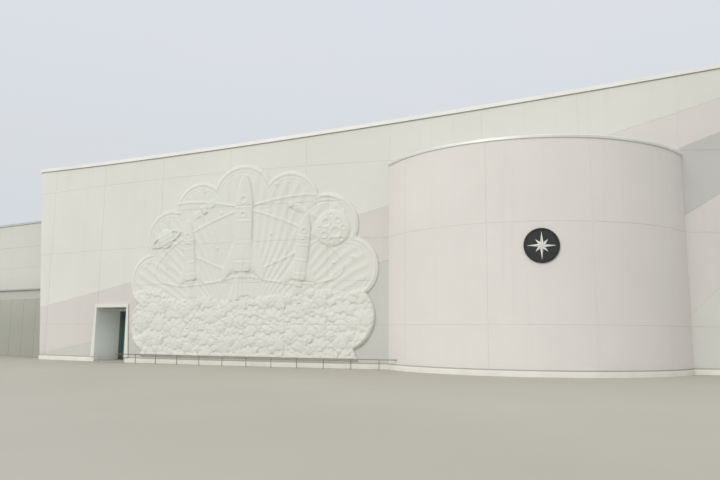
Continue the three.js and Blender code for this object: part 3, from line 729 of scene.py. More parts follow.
# each crater's middle and radius as shares of the moon's radius
CRATERS = (
    Disc(-0.35, 0.3, 0.24), Disc(0.3, 0.42, 0.16), Disc(0.2, -0.22, 0.3), Disc(-0.45, -0.35, 0.18),
    Disc(0.62, 0.02, 0.13), Disc(-0.08, 0.7, 0.12), Disc(-0.7, 0.02, 0.1), Disc(-0.05, -0.68, 0.15),
    Disc(0.5, -0.6, 0.12),
)
STARS = (
    Disc(1.2, 5.05, 0.2), Disc(5.55, 7.35, 0.2), Disc(8.55, 8.6, 0.22), Disc(8.3, 6.2, 0.16),
    Disc(3.05, 7.5, 0.2), Disc(12.4, 5.0, 0.2), Disc(11.5, 4.75, 0.15), Disc(5.4, 5.6, 0.15),
    Disc(10.5, 7.6, 0.16), Disc(2.5, 4.75, 0.15), Disc(8.5, 4.9, 0.14), Disc(4.6, 8.5, 0.14),
    Disc(7.7, 9.25, 0.14),
)
Comet = namedtuple("Comet", "along up radius lean length")
COMET = Comet(9.35, 7.55, 0.17, -28.0, 1.5)
Satellite = namedtuple("Satellite", "along up lean")
SATELLITE = Satellite(4.55, 7.55, 32.0)
Orbit = namedtuple("Orbit", "along up wide tall lean")
ORBITS = (
    Orbit(RELIEF_MIDDLE, 5.9, 5.3, 1.55, 16.0),
    Orbit(RELIEF_MIDDLE, 5.9, 5.3, 1.55, -16.0),
)
Bank = namedtuple("Bank", "up radius spacing left right lift")
CLOUD_BANKS = (
    Bank(2.6, 0.58, 0.95, 0.9, 13.0, 0.075),
    Bank(2.05, 0.7, 1.1, 0.7, 13.2, 0.085),
    Bank(1.45, 0.66, 1.0, 1.0, 12.9, 0.095),
    Bank(0.9, 0.6, 0.95, 0.8, 12.9, 0.105),
    Bank(0.36, 0.48, 0.75, 0.9, 12.8, 0.115),
)
PLANET_BELTS = Sizes(rise=0.006, rate=30)
CRATER = Sizes(rim=0.018, rim_half=0.25, bowl=0.02, bowl_edge=(0.95, 0.4))
COMET_TAIL = Sizes(rise=0.025, flute=0.012, flutes=9, root=0.02, half=0.95, taper=0.5, thinning=0.3)
SATELLITE_CELLS = Sizes(start=0.24, end=0.74, half=0.17, rise=0.03, cell=0.008, rate=19, bar=0.35)
SATELLITE_BOOM = Sizes(half=0.03, end=0.3, rise=0.03)
SATELLITE_BODY = Sizes(half=0.15, reach=0.22)
# round faces: radius, height over the backdrop at the rim, and how much more in the middle
MOON_FACE = (MOON.radius * 1.03, 0.03, 0.06)
PLANET_FACE = (PLANET.radius * 1.03, 0.02, 0.08)
COMET_FACE = (COMET.radius * 1.05, 0.03, 0.06)
SATELLITE_FACE = (0.17, 0.045, 0.03)
RAYS = Sizes(
    up=1.2, count=88, sway=0.9, bends=1.7, power=1.5, rise=0.022, start=(2.0, 3.4), edge=(0.25, 0.6),
)
EDGE_WAVES = Sizes(rise=0.007, length=0.17, fade=(0.75, 0.3))
ORBIT_LINE = Sizes(rise=0.024, half=0.06)
STAR_SHAPE = Sizes(rise=0.05, power=0.6)
# a puff's rim as shares of its radius, and the heights of its face
PUFF = Sizes(rim=0.9, lobe=0.13, turns=1.6, rise=0.065, groove=0.028, crease=0.032)
# how far puffs stray from their row, their sizes, and how much higher a row is toward its ends
STRAY = Sizes(along=0.16, up=0.2, size=(0.8, 1.25), turn=6)
ROW_RISE = Sizes(rise=0.55, half=6.2, above=1)
SMALL_PUFF = Sizes(size=(0.4, 0.55), beside=0.85, above=(-0.2, 0.75), lift=0.008)
TINY = 1e-6


def smooth(low, high, value):
    share = np.clip((value - low) / (high - low), 0, 1)
    return share * share * (3 - 2 * share)


def bell(distance, half):
    return np.exp(-((distance / half) ** 2))


def least(*values):
    """The least of several grids of values, place by place."""
    return np.minimum.reduce(np.broadcast_arrays(*values))


def dome(distance, radius):
    return np.clip(1 - (distance / radius) ** 2, 0, 1) ** 0.5


def leaned(u, v, degrees):
    c, s = math.cos(math.radians(degrees)), math.sin(math.radians(degrees))
    return u * c + v * s, v * c - u * s


def laid(height, face, inside, soft=0.045):
    """Lays a face over what is behind it, softly along its outline, where the distance inside it is 0."""
    return height + (face - height) * smooth(0, soft, inside)


def polygon_depth(points, u, v):
    """Distance inside a closed polygon, negative outside it."""
    near = np.full_like(u, np.inf)
    inside = np.zeros(u.shape, bool)
    for (u0, v0), (u1, v1) in zip(points, points[1:] + points[:1]):
        du, dv = u1 - u0, v1 - v0
        share = np.clip(((u - u0) * du + (v - v0) * dv) / (du * du + dv * dv), 0, 1)
        near = np.minimum(near, np.hypot(u - u0 - share * du, v - v0 - share * dv))
        if dv:
            inside ^= ((v0 > v) != (v1 > v)) & (u < u0 + du * (v - v0) / dv)
    return np.where(inside, near, -near)


def relief_depth(u, v):
    """How far a place lies inside the relief's outline."""
    feet = [(along, RELIEF.bottom) for along in RELIEF_FOOT]
    depth = polygon_depth(feet + [(lobe.along, lobe.up) for lobe in RELIEF_LOBES[::-1]], u, v)
    for lobe in RELIEF_LOBES:
        depth = np.maximum(depth, lobe.radius - np.hypot(u - lobe.along, v - lobe.up))
    return np.minimum(depth, v - RELIEF.bottom)


def over_ground(distance, radius, rise, crown):
    """The height of a round face, from its rim's rise over the backdrop and its crown."""
    return RELIEF.ground + rise + crown * dome(distance, radius)


def backdrop_relief(u, v, depth):
    """Rays from behind the clouds, waves along the edge, orbits and stars."""
    across, above = u - RELIEF_MIDDLE, v - RAYS.up
    away = np.hypot(across, above)
    sway = RAYS.sway * np.sin(away * RAYS.bends)
    rays = (0.5 + 0.5 * np.cos(np.arctan2(above, across) * RAYS.count + sway)) ** RAYS.power
    rays = RAYS.rise * rays * smooth(*RAYS.start, away) * smooth(*RAYS.edge, depth)
    height = RELIEF.ground + rays
    waves = EDGE_WAVES.rise * np.cos(2 * math.pi * depth / EDGE_WAVES.length)
    height += waves * smooth(*EDGE_WAVES.fade, depth)
    for orbit in ORBITS:
        x, y = leaned(u - orbit.along, v - orbit.up, orbit.lean)
        radial = np.hypot(x / orbit.wide, y / orbit.tall)
        gradient = np.hypot(x / orbit.wide**2, y / orbit.tall**2) / np.maximum(radial, TINY)
        height += ORBIT_LINE.rise * dome((radial - 1) / np.maximum(gradient, TINY), ORBIT_LINE.half)
    power = STAR_SHAPE.power
    for star in STARS:
        arms = (np.abs(u - star.along) / star.radius) ** power + (np.abs(v - star.up) / star.radius) ** power
        height += STAR_SHAPE.rise * np.clip(1 - arms, 0, 1) ** power
    return height


def moon_relief(height, u, v):
    reach = np.hypot(u - MOON.along, v - MOON.up)
    face = over_ground(reach, *MOON_FACE)
    for crater in CRATERS:
        middle_u, middle_v = MOON.along + crater.along * MOON.radius, MOON.up + crater.up * MOON.radius
        share = np.hypot(u - middle_u, v - middle_v) / (crater.radius * MOON.radius)
        bowl = CRATER.bowl * smooth(*CRATER.bowl_edge, share)
        face += CRATER.rim * bell(share - 1, CRATER.rim_half) - bowl
    return laid(height, face, MOON.radius - reach)


def planet_relief(height, u, v):
    reach = np.hypot(u - PLANET.along, v - PLANET.up)
    x, y = leaned(u - PLANET.along, v - PLANET.up, PLANET_RING.lean)
    globe = over_ground(reach, *PLANET_FACE) + PLANET_BELTS.rise * np.cos(y * PLANET_BELTS.rate)
    height = laid(height, globe, PLANET.radius - reach)
    off = np.hypot(x, y / PLANET_RING.flatness) - PLANET_RING.reach
    ring = np.maximum(height, RELIEF.ground + PLANET_RING.rise) + PLANET_RING.rim
    ring = ring - PLANET_RING.groove * bell(off, PLANET_RING.groove_half)
    over = np.where((y < 0) | (reach > PLANET.radius), PLANET_RING.half - np.abs(off), -1)
    return laid(height, ring, over)


def comet_relief(height, u, v):
    x, y = leaned(u - COMET.along, v - COMET.up, COMET.lean)
    share = np.clip(x / COMET.length, 0, 1)
    half = COMET.radius * (COMET_TAIL.half - COMET_TAIL.taper * share)
    flutes = COMET_TAIL.flute * np.cos(y / half * COMET_TAIL.flutes)
    tail = RELIEF.ground + COMET_TAIL.rise + flutes + COMET_TAIL.root * (1 - share)
    within = least(half - np.abs(y), x, (COMET.length - x) * COMET_TAIL.thinning)
    reach = np.hypot(x, y)
    return laid(laid(height, tail, within), over_ground(reach, *COMET_FACE), COMET.radius - reach)


def satellite_relief(height, u, v):
    x, y = leaned(u - SATELLITE.along, v - SATELLITE.up, SATELLITE.lean)
    side, level = np.abs(x), np.abs(y)
    cells, boom, body = SATELLITE_CELLS, SATELLITE_BOOM, SATELLITE_BODY
    face = cells.cell * (np.abs(np.cos(x * cells.rate)) > cells.bar) + cells.rise
    within = least(side - cells.start, cells.end - side, cells.half - level)
    height = laid(height, RELIEF.ground + face, within, 0.03)
    within = least(boom.half - level, boom.end - side)
    height = laid(height, RELIEF.ground + boom.rise, within, 0.02)
    within = least(body.half - side, body.reach - level)
    return laid(height, over_ground(x, *SATELLITE_FACE), within, 0.035)


def plume_relief(height, rocket, across, drop):
    """A fluted plume that widens below the rocket."""
    flare = rocket.half * (PLUME.throat + PLUME.spread * np.clip(drop, 0, None) ** 0.8)
    flutes = 0.5 + 0.5 * np.cos(across / flare * PLUME.flutes + 0.8 * np.sin(drop * 4))
    face = rocket.lift - 0.02 + (PLUME.rise + PLUME.flute * flutes) * dome(across, flare * 1.05)
    return laid(height, np.maximum(height, face), least(flare - np.abs(across), (drop + 0.02) * 2))


def nozzle_relief(height, rocket, across, drop):
    """A ringed bell under the body."""
    length = NOZZLE.length
    throat = rocket.half * (NOZZLE.throat + NOZZLE.flare * np.clip(drop / length, 0, 1))
    face = rocket.lift + 0.015 + NOZZLE.rise * dome(across, throat * 1.05)
    face += 0.006 * np.cos(drop * NOZZLE.rings)
    return laid(height, face, least(throat - np.abs(across), drop + 0.05, length - drop), 0.035)


def fin_relief(height, rocket, side, upward, share):
    """Swept fins on both sides of the foot, with a raised rim."""
    edge = rocket.half * (1 + FIN.reach * smooth(FIN.top, -0.02, share)) - side
    sweep_up = FIN.sweep * rocket.length * smooth(rocket.half, 2.2 * rocket.half, side)
    within = least(edge, upward + sweep_up, (FIN.top - share) * rocket.length)
    rim = 0.012 * bell(within - FIN.rim, 0.03)
    return laid(height, rocket.lift + 0.01 + FIN.rise * smooth(0, FIN.rim, within) - rim, within)


def body_relief(height, rocket, across, upward, share):
    """A round body with a pointed nose, bands, seams and ports."""
    side = np.abs(across)
    nose = np.clip((share - ROCKET_SHOULDER) / (1 - ROCKET_SHOULDER), 0, 1)
    half = rocket.half * np.sqrt(np.clip(1 - nose**1.7, 0, 1)) * smooth(-0.12, 0.06, share)
    half = np.maximum(half, 1e-3)
    body = rocket.lift + 0.025 + 0.08 * dome(across, half * 1.04)
    for place in ROCKET_BANDS:
        off = (share - place) * rocket.length
        body += 0.011 * bell(off, 0.045) - 0.010 * bell(off - 0.1, 0.032)
    body -= 0.009 * bell(side - 0.5 * half, 0.03) * (share < ROCKET_SHOULDER)
    body -= 0.009 * bell(side, 0.03) * (share < ROCKET_BANDS[2]) * (share > ROCKET_BANDS[1])
    for place, size in ROCKET_PORTS:
        port = np.hypot(across, upward - place * rocket.length)
        reach = size * rocket.half
        body += 0.018 * bell(port - reach, 0.04) - 0.022 * smooth(reach, 0.6 * reach, port)
    return laid(height, body, least(half - side, upward, (1 - share) * rocket.length), 0.035)


def blade_relief(height, rocket, side, upward, share):
    """The fin that points straight out of the wall."""
    face = rocket.lift + BLADE.rise * smooth(BLADE.top, 0.2, share)
    within = least(BLADE.half - side, (BLADE.top - share) * rocket.length, upward - 0.02)
    return laid(height, np.maximum(height, face), within, 0.04)


def rocket_relief(height, u, v, rocket):
    """Lays a plume, nozzle, swept fins and a banded round body with ports over what is behind."""
    across, upward = leaned(u - rocket.along, v - rocket.up, rocket.lean)
    side, share = np.abs(across), upward / rocket.length
    height = plume_relief(height, rocket, across, -upward)
    height = nozzle_relief(height, rocket, across, -upward)
    height = fin_relief(height, rocket, side, upward, share)
    height = body_relief(height, rocket, across, upward, share)
    return blade_relief(height, rocket, side, upward, share)


def billow(height, u, v, cloud, lift, turn):
    """Lays a puff with a lobed rim, small puffs inside the rim and a curled middle over what is behind it."""
    near = (np.abs(u - cloud.along) < 1.1 * cloud.radius) & (np.abs(v - cloud.up) < 1.1 * cloud.radius)
    du, dv, behind = u[near] - cloud.along, v[near] - cloud.up, height[near]
    reach = np.hypot(du, dv)
    bearing = np.arctan2(dv, du) + turn
    lobes = round(9 * cloud.radius) + 4
    lobed = np.abs(np.sin(bearing * lobes / 2))
    rim = cloud.radius * (PUFF.rim + PUFF.lobe * lobed**0.8)
    share = np.clip(reach / rim, 0, 1)
    curl = (bearing / (2 * math.pi) - PUFF.turns * share) % 1.0
    groove = bell(curl - 0.5, 0.09) * smooth(0.1, 0.25, share) * smooth(0.72, 0.55, share)
    crease = (1 - lobed) ** 2 * smooth(0.5, 0.85, share)
    face = lift + PUFF.rise * np.clip(1 - share**2.2, 0, 1) ** 0.6
    face = face - PUFF.groove * groove - PUFF.crease * crease
    height[near] = laid(behind, np.maximum(face, lift), rim - reach, 0.04)


def cloud_relief(height, u, v):
    """Lays banks of puffs, each with a smaller one on both sides, over what is behind them."""
    draw = np.random.default_rng(7)

    def stray(reach):
        return draw.uniform(-reach, reach)

    for bank in CLOUD_BANKS:
        width = bank.right - bank.left
        count = int(width / bank.spacing)
        for i in draw.permutation(count + 1):
            along = bank.left + i * width / count + stray(STRAY.along)
            rise = ROW_RISE.rise * ((along - RELIEF_MIDDLE) / ROW_RISE.half) ** 2
            up = bank.up + (rise if bank.up > ROW_RISE.above else 0.0) + stray(STRAY.up)
            puff = Disc(along, up, bank.radius * draw.uniform(*STRAY.size))
            billow(height, u, v, puff, bank.lift, draw.uniform(0, STRAY.turn))
            for side in (-1, 1):
                size = puff.radius * draw.uniform(*SMALL_PUFF.size)
                beside = side * puff.radius * SMALL_PUFF.beside
                above = puff.radius * draw.uniform(*SMALL_PUFF.above)
                small = Disc(along + beside, up + above, size)
                billow(height, u, v, small, bank.lift + SMALL_PUFF.lift, draw.uniform(0, STRAY.turn))


RELIEF_RIM = Sizes(inset=0.14, half=0.05, rise=0.014, foot=0.035, round=0.09, least=0.05)


def relief_height(u, v):
    """How far the relief's face stands off the wall."""
    depth = relief_depth(u, v)
    height = backdrop_relief(u, v, depth)
    for layer in (moon_relief, planet_relief, comet_relief, satellite_relief):
        height = layer(height, u, v)
    for rocket in ROCKETS:
        height = rocket_relief(height, u, v, rocket)
    cloud_relief(height, u, v)
    height += RELIEF_RIM.rise * bell(depth - RELIEF_RIM.inset, RELIEF_RIM.half)
    for places, lines in ((v, CAST_JOINTS.ups), (u, CAST_JOINTS.alongs)):
        for line in lines:
            height = height - CAST_JOINTS.depth * (np.abs(places - line) < CAST_JOINTS.half / 2)
    height = height - RELIEF.thinned * smooth(1.4, RELIEF.bottom, v)
    raised = np.maximum(height, RELIEF_RIM.least) - RELIEF_RIM.foot
    return RELIEF_RIM.foot + raised * np.sqrt(np.clip(depth / RELIEF_RIM.round, 0, 1))


def grid_lines(low, high, joints):
    """Even lines from low to high, with close ones at the joints."""
    even = np.arange(low, high + RELIEF.cell, RELIEF.cell)
    for line in joints:
        close = line + CAST_JOINTS.half * np.array((-1, 0, 1))
        even = np.concatenate((even[np.abs(even - line) > 0.6 * RELIEF.cell], close))
    return np.sort(even)


NUDGE = 1e-4


def relief():
    alongs = grid_lines(-0.02, RELIEF.width + 0.1, CAST_JOINTS.alongs)
    ups = grid_lines(RELIEF.bottom, RELIEF.top, CAST_JOINTS.ups)
    u, v = np.meshgrid(alongs, ups)
    middle_u, middle_v = ((grid[1:, 1:] + grid[:-1, :-1]) / 2 for grid in (u, v))
    kept = relief_depth(middle_u, middle_v) > 0
    around = np.pad(kept, 1)
    corners = [around[:-1, :-1], around[1:, :-1], around[:-1, 1:], around[1:, 1:]]
    edge = np.any(corners, axis=0) & ~np.all(corners, axis=0)
    for _ in range(2):
        depth = relief_depth(u, v)
        slope_u = (relief_depth(u + NUDGE, v) - depth) / NUDGE
        slope_v = (relief_depth(u, v + NUDGE) - depth) / NUDGE
        u, v = u - np.where(edge, depth * slope_u, 0), v - np.where(edge, depth * slope_v, 0)
    height = relief_height(u, v)
    bm = bmesh.new()
    start = along_wall(RELIEF.angle)
    grid = {}
    for row, column in zip(*np.nonzero(np.any(corners, axis=0))):
        place = (start + u[row, column], -height[row, column], v[row, column])
        grid[row, column] = bm.verts.new(place)
    for row, column in zip(*np.nonzero(kept)):
        bm.faces.new([grid[row + r, column + c] for r, c in ((0, 0), (0, 1), (1, 1), (1, 0))])
    back = backed(bm, -SEAT)
    for along in steps_between(start, start + RELIEF.width, WALL_STEP):
        edges = {edge for face in back for edge in face.edges}
        corners = {vertex for face in back for vertex in face.verts}
        geometry = [*corners, *edges, *back]
        cut = bmesh.ops.bisect_plane(
            bm, geom=geometry, dist=CUT_SLACK, plane_co=(along, 0, 0), plane_no=(1, 0, 0),
        )
        back = [part for part in cut["geom"] if isinstance(part, bmesh.types.BMFace)]
    make("relief_cast", placed(bm, ON_WALL), [PLASTER], ["relief_panel"], crease=50)


# Round plaque on the drum: a raised rim and a two-tone compass star
MEDALLION = Sizes(along=along_drum(0.4), up=4.91, radius=0.67, sides=72)
# share of the radius, height off the drum
MEDALLION_RINGS = (
    (1.0, 0.001), (1.0, 0.05), (0.985, 0.06), (0.93, 0.06), (0.915, 0.045), (0.885, 0.045), (0.877, 0.051),
    (0.862, 0.051), (0.854, 0.045), (0.65, 0.045), (0.43, 0.045), (0.21, 0.045),
)
STAR_TIPS = (0.82, 0.5)
STAR_VALLEY = 0.21
STAR_HEIGHTS = Sizes(foot=0.044, edge=0.048, middle=0.066)


def medallion():
    def spot(bm, radius, turn, height):
        reach = radius * MEDALLION.radius
        along, up = MEDALLION.along + reach * math.sin(turn), MEDALLION.up + reach * math.cos(turn)
        return bm.verts.new((along, -height, up))

    disc = bmesh.new()
    turns = [2 * math.pi * i / MEDALLION.sides for i in range(MEDALLION.sides)]
    rings = [[spot(disc, radius, turn, height) for turn in turns] for radius, height in MEDALLION_RINGS]
    for ring, following in zip(rings, rings[1:]):
        for i, vertex in enumerate(ring):
            j = (i + 1) % len(ring)
            disc.faces.new((vertex, ring[j], following[j], following[i]))
    disc.faces.new(rings[-1])
    disc.faces.new(rings[0][::-1])
    star = bmesh.new()
    radii = (STAR_TIPS[0], STAR_VALLEY, STAR_TIPS[1], STAR_VALLEY) * 4
    outline = [(radius, 2 * math.pi * i / len(radii)) for i, radius in enumerate(radii)]
    middle = spot(star, 0, 0, STAR_HEIGHTS.middle)
    upper = [spot(star, radius, turn, STAR_HEIGHTS.edge) for radius, turn in outline]
    lower = [spot(star, radius, turn, STAR_HEIGHTS.foot) for radius, turn in outline]
    for i in range(len(radii)):
        j = (i + 1) % len(radii)
        for corners in ((middle, upper[i], upper[j]), (upper[i], lower[i], lower[j], upper[j])):
            star.faces.new(corners).material_index = 1 + i % 2
    star.faces.new(lower).material_index = 1
    whole = placed(joined([disc, star]), ON_DRUM)
    make("medallion_plaque", whole, [BRONZE, TRIM, ZINC], ["medallion"])


# Entry: a white surround on the wall's face with legs that widen to the foot, a lined recess and its sill
ON_ENTRY = straight(*polar(WALL.radius, ENTRY.angle), ENTRY.angle)
SURROUND_GAP = 0.005
LINING = Sizes(thickness=0.004, short=0.005)
SILL = Sizes(depths=(0.28, 0.34), height=0.012)
THRESHOLD = Sizes(past=0.012, front=1.5, height=0.001)
DOOR_TRIM = Sizes(lap=0.03, foot=0.064, front=1.588, below=0.012, above=0.03)


def entry():
    clear, height, depth = ENTRY.width / 2, ENTRY.height, ENTRY.depth
    inner = clear + SURROUND_GAP
    right_half = (
        (inner, height), (inner, PLINTH_TOP), (inner + SURROUND.foot, PLINTH_TOP),
        (inner + SURROUND.top, height + SURROUND.head),
    )
    outline = [*right_half, *((-along, up) for along, up in reversed(right_half))]
    bm = bevelled_slab(outline, -SURROUND.proud, -SEAT, 0.012)
    casing = placed(bm, ON_ENTRY)
    make("entry_surround_casing", casing, [SURROUND_PAINT], ["entry_surround"])
    sill = box(either(inner), SILL.depths, (FLOOR_HEIGHT, FLOOR_HEIGHT + SILL.height), 0.003)
    make("entry_sill_strip", placed(sill, ON_ENTRY), [STEEL])
    inside, depths = clear - LINING.thickness, (LINING.short - SURROUND.proud, depth)
    lining = [
        *(box((side * clear, side * inside), depths, (FLOOR_HEIGHT, height)) for side in (-1, 1)),
        # the head sheet takes the soffit's grey, which is painted shade
        box(either(clear), depths, (height - LINING.thickness, height), material=1),
    ]
    make("entry_lining_sheets", placed(joined(lining), ON_ENTRY), [REVEAL, SOFFIT_SHADE])
    edge = ENTRY_DOOR.width / 2 + THRESHOLD.past
    head = FLOOR_HEIGHT + ENTRY_DOOR.height + LINING.thickness
    lap, depths = edge - DOOR_TRIM.lap, (DOOR_TRIM.front, depth)
    trim = [
        box(either(edge), (THRESHOLD.front, depth), (FLOOR_HEIGHT, FLOOR_HEIGHT + THRESHOLD.height)),
        *(box((side * inside, side * lap), depths, (DOOR_TRIM.foot, head), 0.002) for side in (-1, 1)),
        box(either(inside), depths, (head - DOOR_TRIM.below, head + DOOR_TRIM.above), 0.002),
    ]
    make("entry_door_trim", placed(joined(trim), ON_ENTRY), [DOOR_METAL])


# Doors: in a door's own axes x runs along the opening, minus y is outside and the outside face is at y = 0
JAMB = Sizes(width=0.05, depth=0.1)
STOP = Sizes(width=0.014, depths=(0.048, 0.066))
BARREL = Sizes(radius=0.011, pin=0.009, let_in=0.003, foot=0.02, clear=0.07, knuckle=0.16, gap=0.004)
LEAF = Sizes(thickness=0.045, stile=0.045, top_rail=0.1, bottom_rail=0.25, gap=0.011)
BEAD = Sizes(width=0.014, depths=((0.001, 0.0103), (0.0347, 0.044)))
KICK_PLATE = Sizes(inset=0.03, depths=(-0.0015, 0.001), low=0.02, high=0.3)
PULL = Sizes(bottom=0.85, top=1.35, out=0.074, radius=0.013, from_edge=0.022, post=0.06)
# rods from one depth to another at the pull's posts and at the lock: radius, material
POST_RODS = ((-PULL.out, 0.002, 0.008, 2), (-0.006, 0.001, 0.02, 2))
LOCK_RODS = ((-0.008, 0.001, 0.016, 2), (-0.011, -0.006, 0.009, 0))
LOCK_HEIGHT = 0.72
# from the opening's edge to the barrel's middle
HINGE_INSET = JAMB.width + BARREL.radius - BARREL.let_in


def door_frame(name, node, place, width, height, hinges):
    """A head, jambs with stops, and the barrels on the sides named in hinges."""
    half, inside, head = width / 2, width / 2 - JAMB.width, height - JAMB.width
    depths, stop = (0, JAMB.depth), inside - STOP.width
    parts = [
        box(either(half), depths, (head, height), 0.003),
        box(either(inside), STOP.depths, (head - STOP.width, head), 0.002, material=1),
    ]
    for side in (-1, 1):
        parts.append(box((side * half, side * inside), depths, (0, head), 0.003))
        parts.append(box((side * inside, side * stop), STOP.depths, (0, head), 0.002, material=1))
    for side in hinges:
        x, bottom = side * (half - HINGE_INSET), BARREL.foot
        while bottom + BARREL.knuckle < height - BARREL.clear:
            end = bottom + BARREL.knuckle - BARREL.gap
            parts.append(rod((x, 0, bottom), (x, 0, end), BARREL.radius))
            bottom += BARREL.knuckle
        parts.append(rod((x, 0, BARREL.foot), (x, 0, bottom), BARREL.pin))
    make(name, placed(joined(parts), place), [DOOR_METAL, RUBBER], [node])


def door_leaf(name, node, place, side, width, height, glazed):
    """A leaf whose hinge is on the left where side is -1."""
    hinge = side * (width / 2 - HINGE_INSET)
    near = BARREL.radius + SEAT
    span = width / 2 - LEAF.gap / 2 if glazed else width - JAMB.width - LEAF.gap
    far = span - HINGE_INSET
    bottom, top = LEAF.gap, height - JAMB.width - LEAF.gap
    depths = (0, LEAF.thickness)

    def plate(start, end, depths, ups, bevel=0.003, material=0):
        return box((hinge - side * start, hinge - side * end), depths, ups, bevel, material)

    if glazed:
        left, right = near + LEAF.stile, far - LEAF.stile
        low, high = bottom + LEAF.bottom_rail, top - LEAF.top_rail
        parts = [
            plate(near, left, depths, (bottom, top)),
            plate(right, far, depths, (bottom, top)),
            plate(left, right, depths, (bottom, low)),
            plate(left, right, depths, (high, top)),
        ]
        bead = BEAD.width
        for face in BEAD.depths:
            parts += [
                plate(left, left + bead, face, (low, high), 0.002, 1),
                plate(right - bead, right, face, (low, high), 0.002, 1),
                plate(left, right, face, (low, low + bead), 0.002, 1),
                plate(left, right, face, (high - bead, high), 0.002, 1),
            ]
    else:
        inset, ups = KICK_PLATE.inset, (bottom + KICK_PLATE.low, KICK_PLATE.high)
        parts = [
            plate(near, far, depths, (bottom, top), 0.004),
            plate(near + inset, far - inset, KICK_PLATE.depths, ups, 0.0005, 2),
        ]
    x = hinge - side * (far - PULL.from_edge)
    ends = [(x, -PULL.out, up) for up in (PULL.bottom, PULL.top)]
    parts.append(rod(*ends, PULL.radius, material=2))
    spots = (
        (PULL.bottom + PULL.post, POST_RODS),
        (PULL.top - PULL.post, POST_RODS),
        (LOCK_HEIGHT, LOCK_RODS),
    )
    for up, rods in spots:
        for start, end, radius, material in rods:
            parts.append(rod((x, start, up), (x, end, up), radius, material=material))
    whole = placed(joined(parts), place)
    make(name, whole, [DOOR_METAL, RUBBER, STEEL], [node], body=node)


def doors():
    def raised(place, depth_in=0.0):
        return lambda along, depth, up: place(along, depth_in + depth, FLOOR_HEIGHT + SEAT + up)

    place, size = raised(ON_ENTRY, ENTRY.depth), (ENTRY_DOOR.width, ENTRY_DOOR.height)
    door_frame("entry_frame_jambs", "entry_door_frame", place, *size, (-1, 1))
    for node, side in (("entry_door_left", -1), ("entry_door_right", 1)):
        door_leaf(f"{node}_leaf", node, place, side, *size, glazed=True)
    place, size = raised(straight(REAR_DOOR.x, REAR_Y, 180)), (REAR_DOOR.width, REAR_DOOR.height)
    door_frame("rear_frame_jambs", "rear_door_frame", place, *size, (-1,))
    door_leaf("rear_door_leaf", "rear_door", place, -1, *size, glazed=False)


# Low rail: one round bar on posts with foot plates and caps under the bar
RAIL = Sizes(reach=73.86, up=0.44, left=-11.1, right=0.341, radius=0.02, sides=14)
RAIL_POSTS = Sizes(first=-10.08, step=0.982, count=11)
# the rods of a post: bottom, top, radius, sides, tip
POST = (
    (0, RAIL.up - 0.012, 0.015, 14, None),
    (0, 0.008, 0.04, 20, None),
    (0.008, 0.02, 0.026, 20, 0.017),
    (RAIL.up - 0.035, RAIL.up - 0.016, 0.019, 16, None),
)


def low_rail():
    turns = [2 * math.pi * i / RAIL.sides for i in range(RAIL.sides)]
    bar = [(RAIL.radius * math.cos(turn), RAIL.radius * math.sin(turn)) for turn in turns]
    left, right = along_wall(RAIL.left), along_wall(RAIL.right)
    stations = arc_stations(WALL, left, right, WALL_STEP / 2, lambda along: RAIL.up, RAIL.reach)
    parts = [sweep(bar, stations)]
    depth = WALL.radius - RAIL.reach
    for i in range(RAIL_POSTS.count):
        along = along_wall(RAIL_POSTS.first + i * RAIL_POSTS.step)
        for bottom, top, radius, sides, tip in POST:
            post = rod((along, depth, bottom), (along, depth, top), radius, sides, tip=tip)
            parts.append(placed(post, ON_WALL))
    make("low_rail_tubes", joined(parts), [RAIL_STEEL], ["low_rail"], crease=40)


# Hall: side and rear walls with joints, flashing on their tops
HALL_JOINT_STEP = 4.0
SIDE_FRONT = -70.1
SILL_PROUD = 0.02
FLASHING_LAP = 0.02
FLASHING_PROFILE = (
    (-0.27, -0.06), (-0.27, 0.03), (0.005, 0.045), (0.02, 0.04), (0.02, -0.08), (0.002, -0.08), (0.002, 0.0),
    (-0.252, 0.0), (-0.252, -0.06),
)


def hall_wall(node, place, outline, length, height):
    """A straight wall whose joints run its full length and height."""
    lines = level_lines(JOINT_HEIGHTS, 0, length)
    lines += upright_lines(steps_between(0, length, HALL_JOINT_STEP), height)
    bm = grooved_slab(outline, lines, SIDE_THICKNESS, FLAT_STEP, WIDE_JOINT, sealant=1)
    make(f"{node}_panels", placed(bm, place), [IVORY, SEALANT], [node])


def hall():
    inner = REAR_Y - SIDE_THICKNESS
    depth = inner - SIDE_FRONT
    right_top, left_top = (roof_height(x) + ROOF.parapet for x in (SIDE_X, -SIDE_X))
    # node, side, height, where the drawing starts
    walls = (("side_wall_left", -1, left_top, inner), ("side_wall_right", 1, right_top, SIDE_FRONT))
    for node, side, top, start in walls:
        outline = [(0, 0), (depth, 0), (depth, top), (0, top)]
        hall_wall(node, straight(side * SIDE_X, start, 90 * side), outline, depth, top)
    door = SIDE_X - REAR_DOOR.x
    half, head = REAR_DOOR.width / 2 + 2 * SEAT, FLOOR_HEIGHT + REAR_DOOR.height + 2 * SEAT
    outline = [
        (0, 0), (door - half, 0), (door - half, head), (door + half, head), (door + half, 0), (2 * SIDE_X, 0),
        (2 * SIDE_X, left_top), (0, right_top),
    ]
    on_rear = straight(SIDE_X, REAR_Y, 180)
    hall_wall("rear_wall", on_rear, outline, 2 * SIDE_X, right_top)
    sill = box((door - half, door + half), (-SILL_PROUD, SIDE_THICKNESS), (0, FLOOR_HEIGHT), 0.004)
    make("rear_door_sill", placed(sill, on_rear), [SLAB])
    front = SIDE_FRONT - FLASHING_LAP
    path = [(SIDE_X, front), (SIDE_X, REAR_Y), (-SIDE_X, REAR_Y), (-SIDE_X, front)]
    stations = mitred_stations(path, lambda corner: roof_height(corner.x) + ROOF.parapet)
    make("parapet_flashing", sweep(FLASHING_PROFILE, stations), [COPING_METAL])


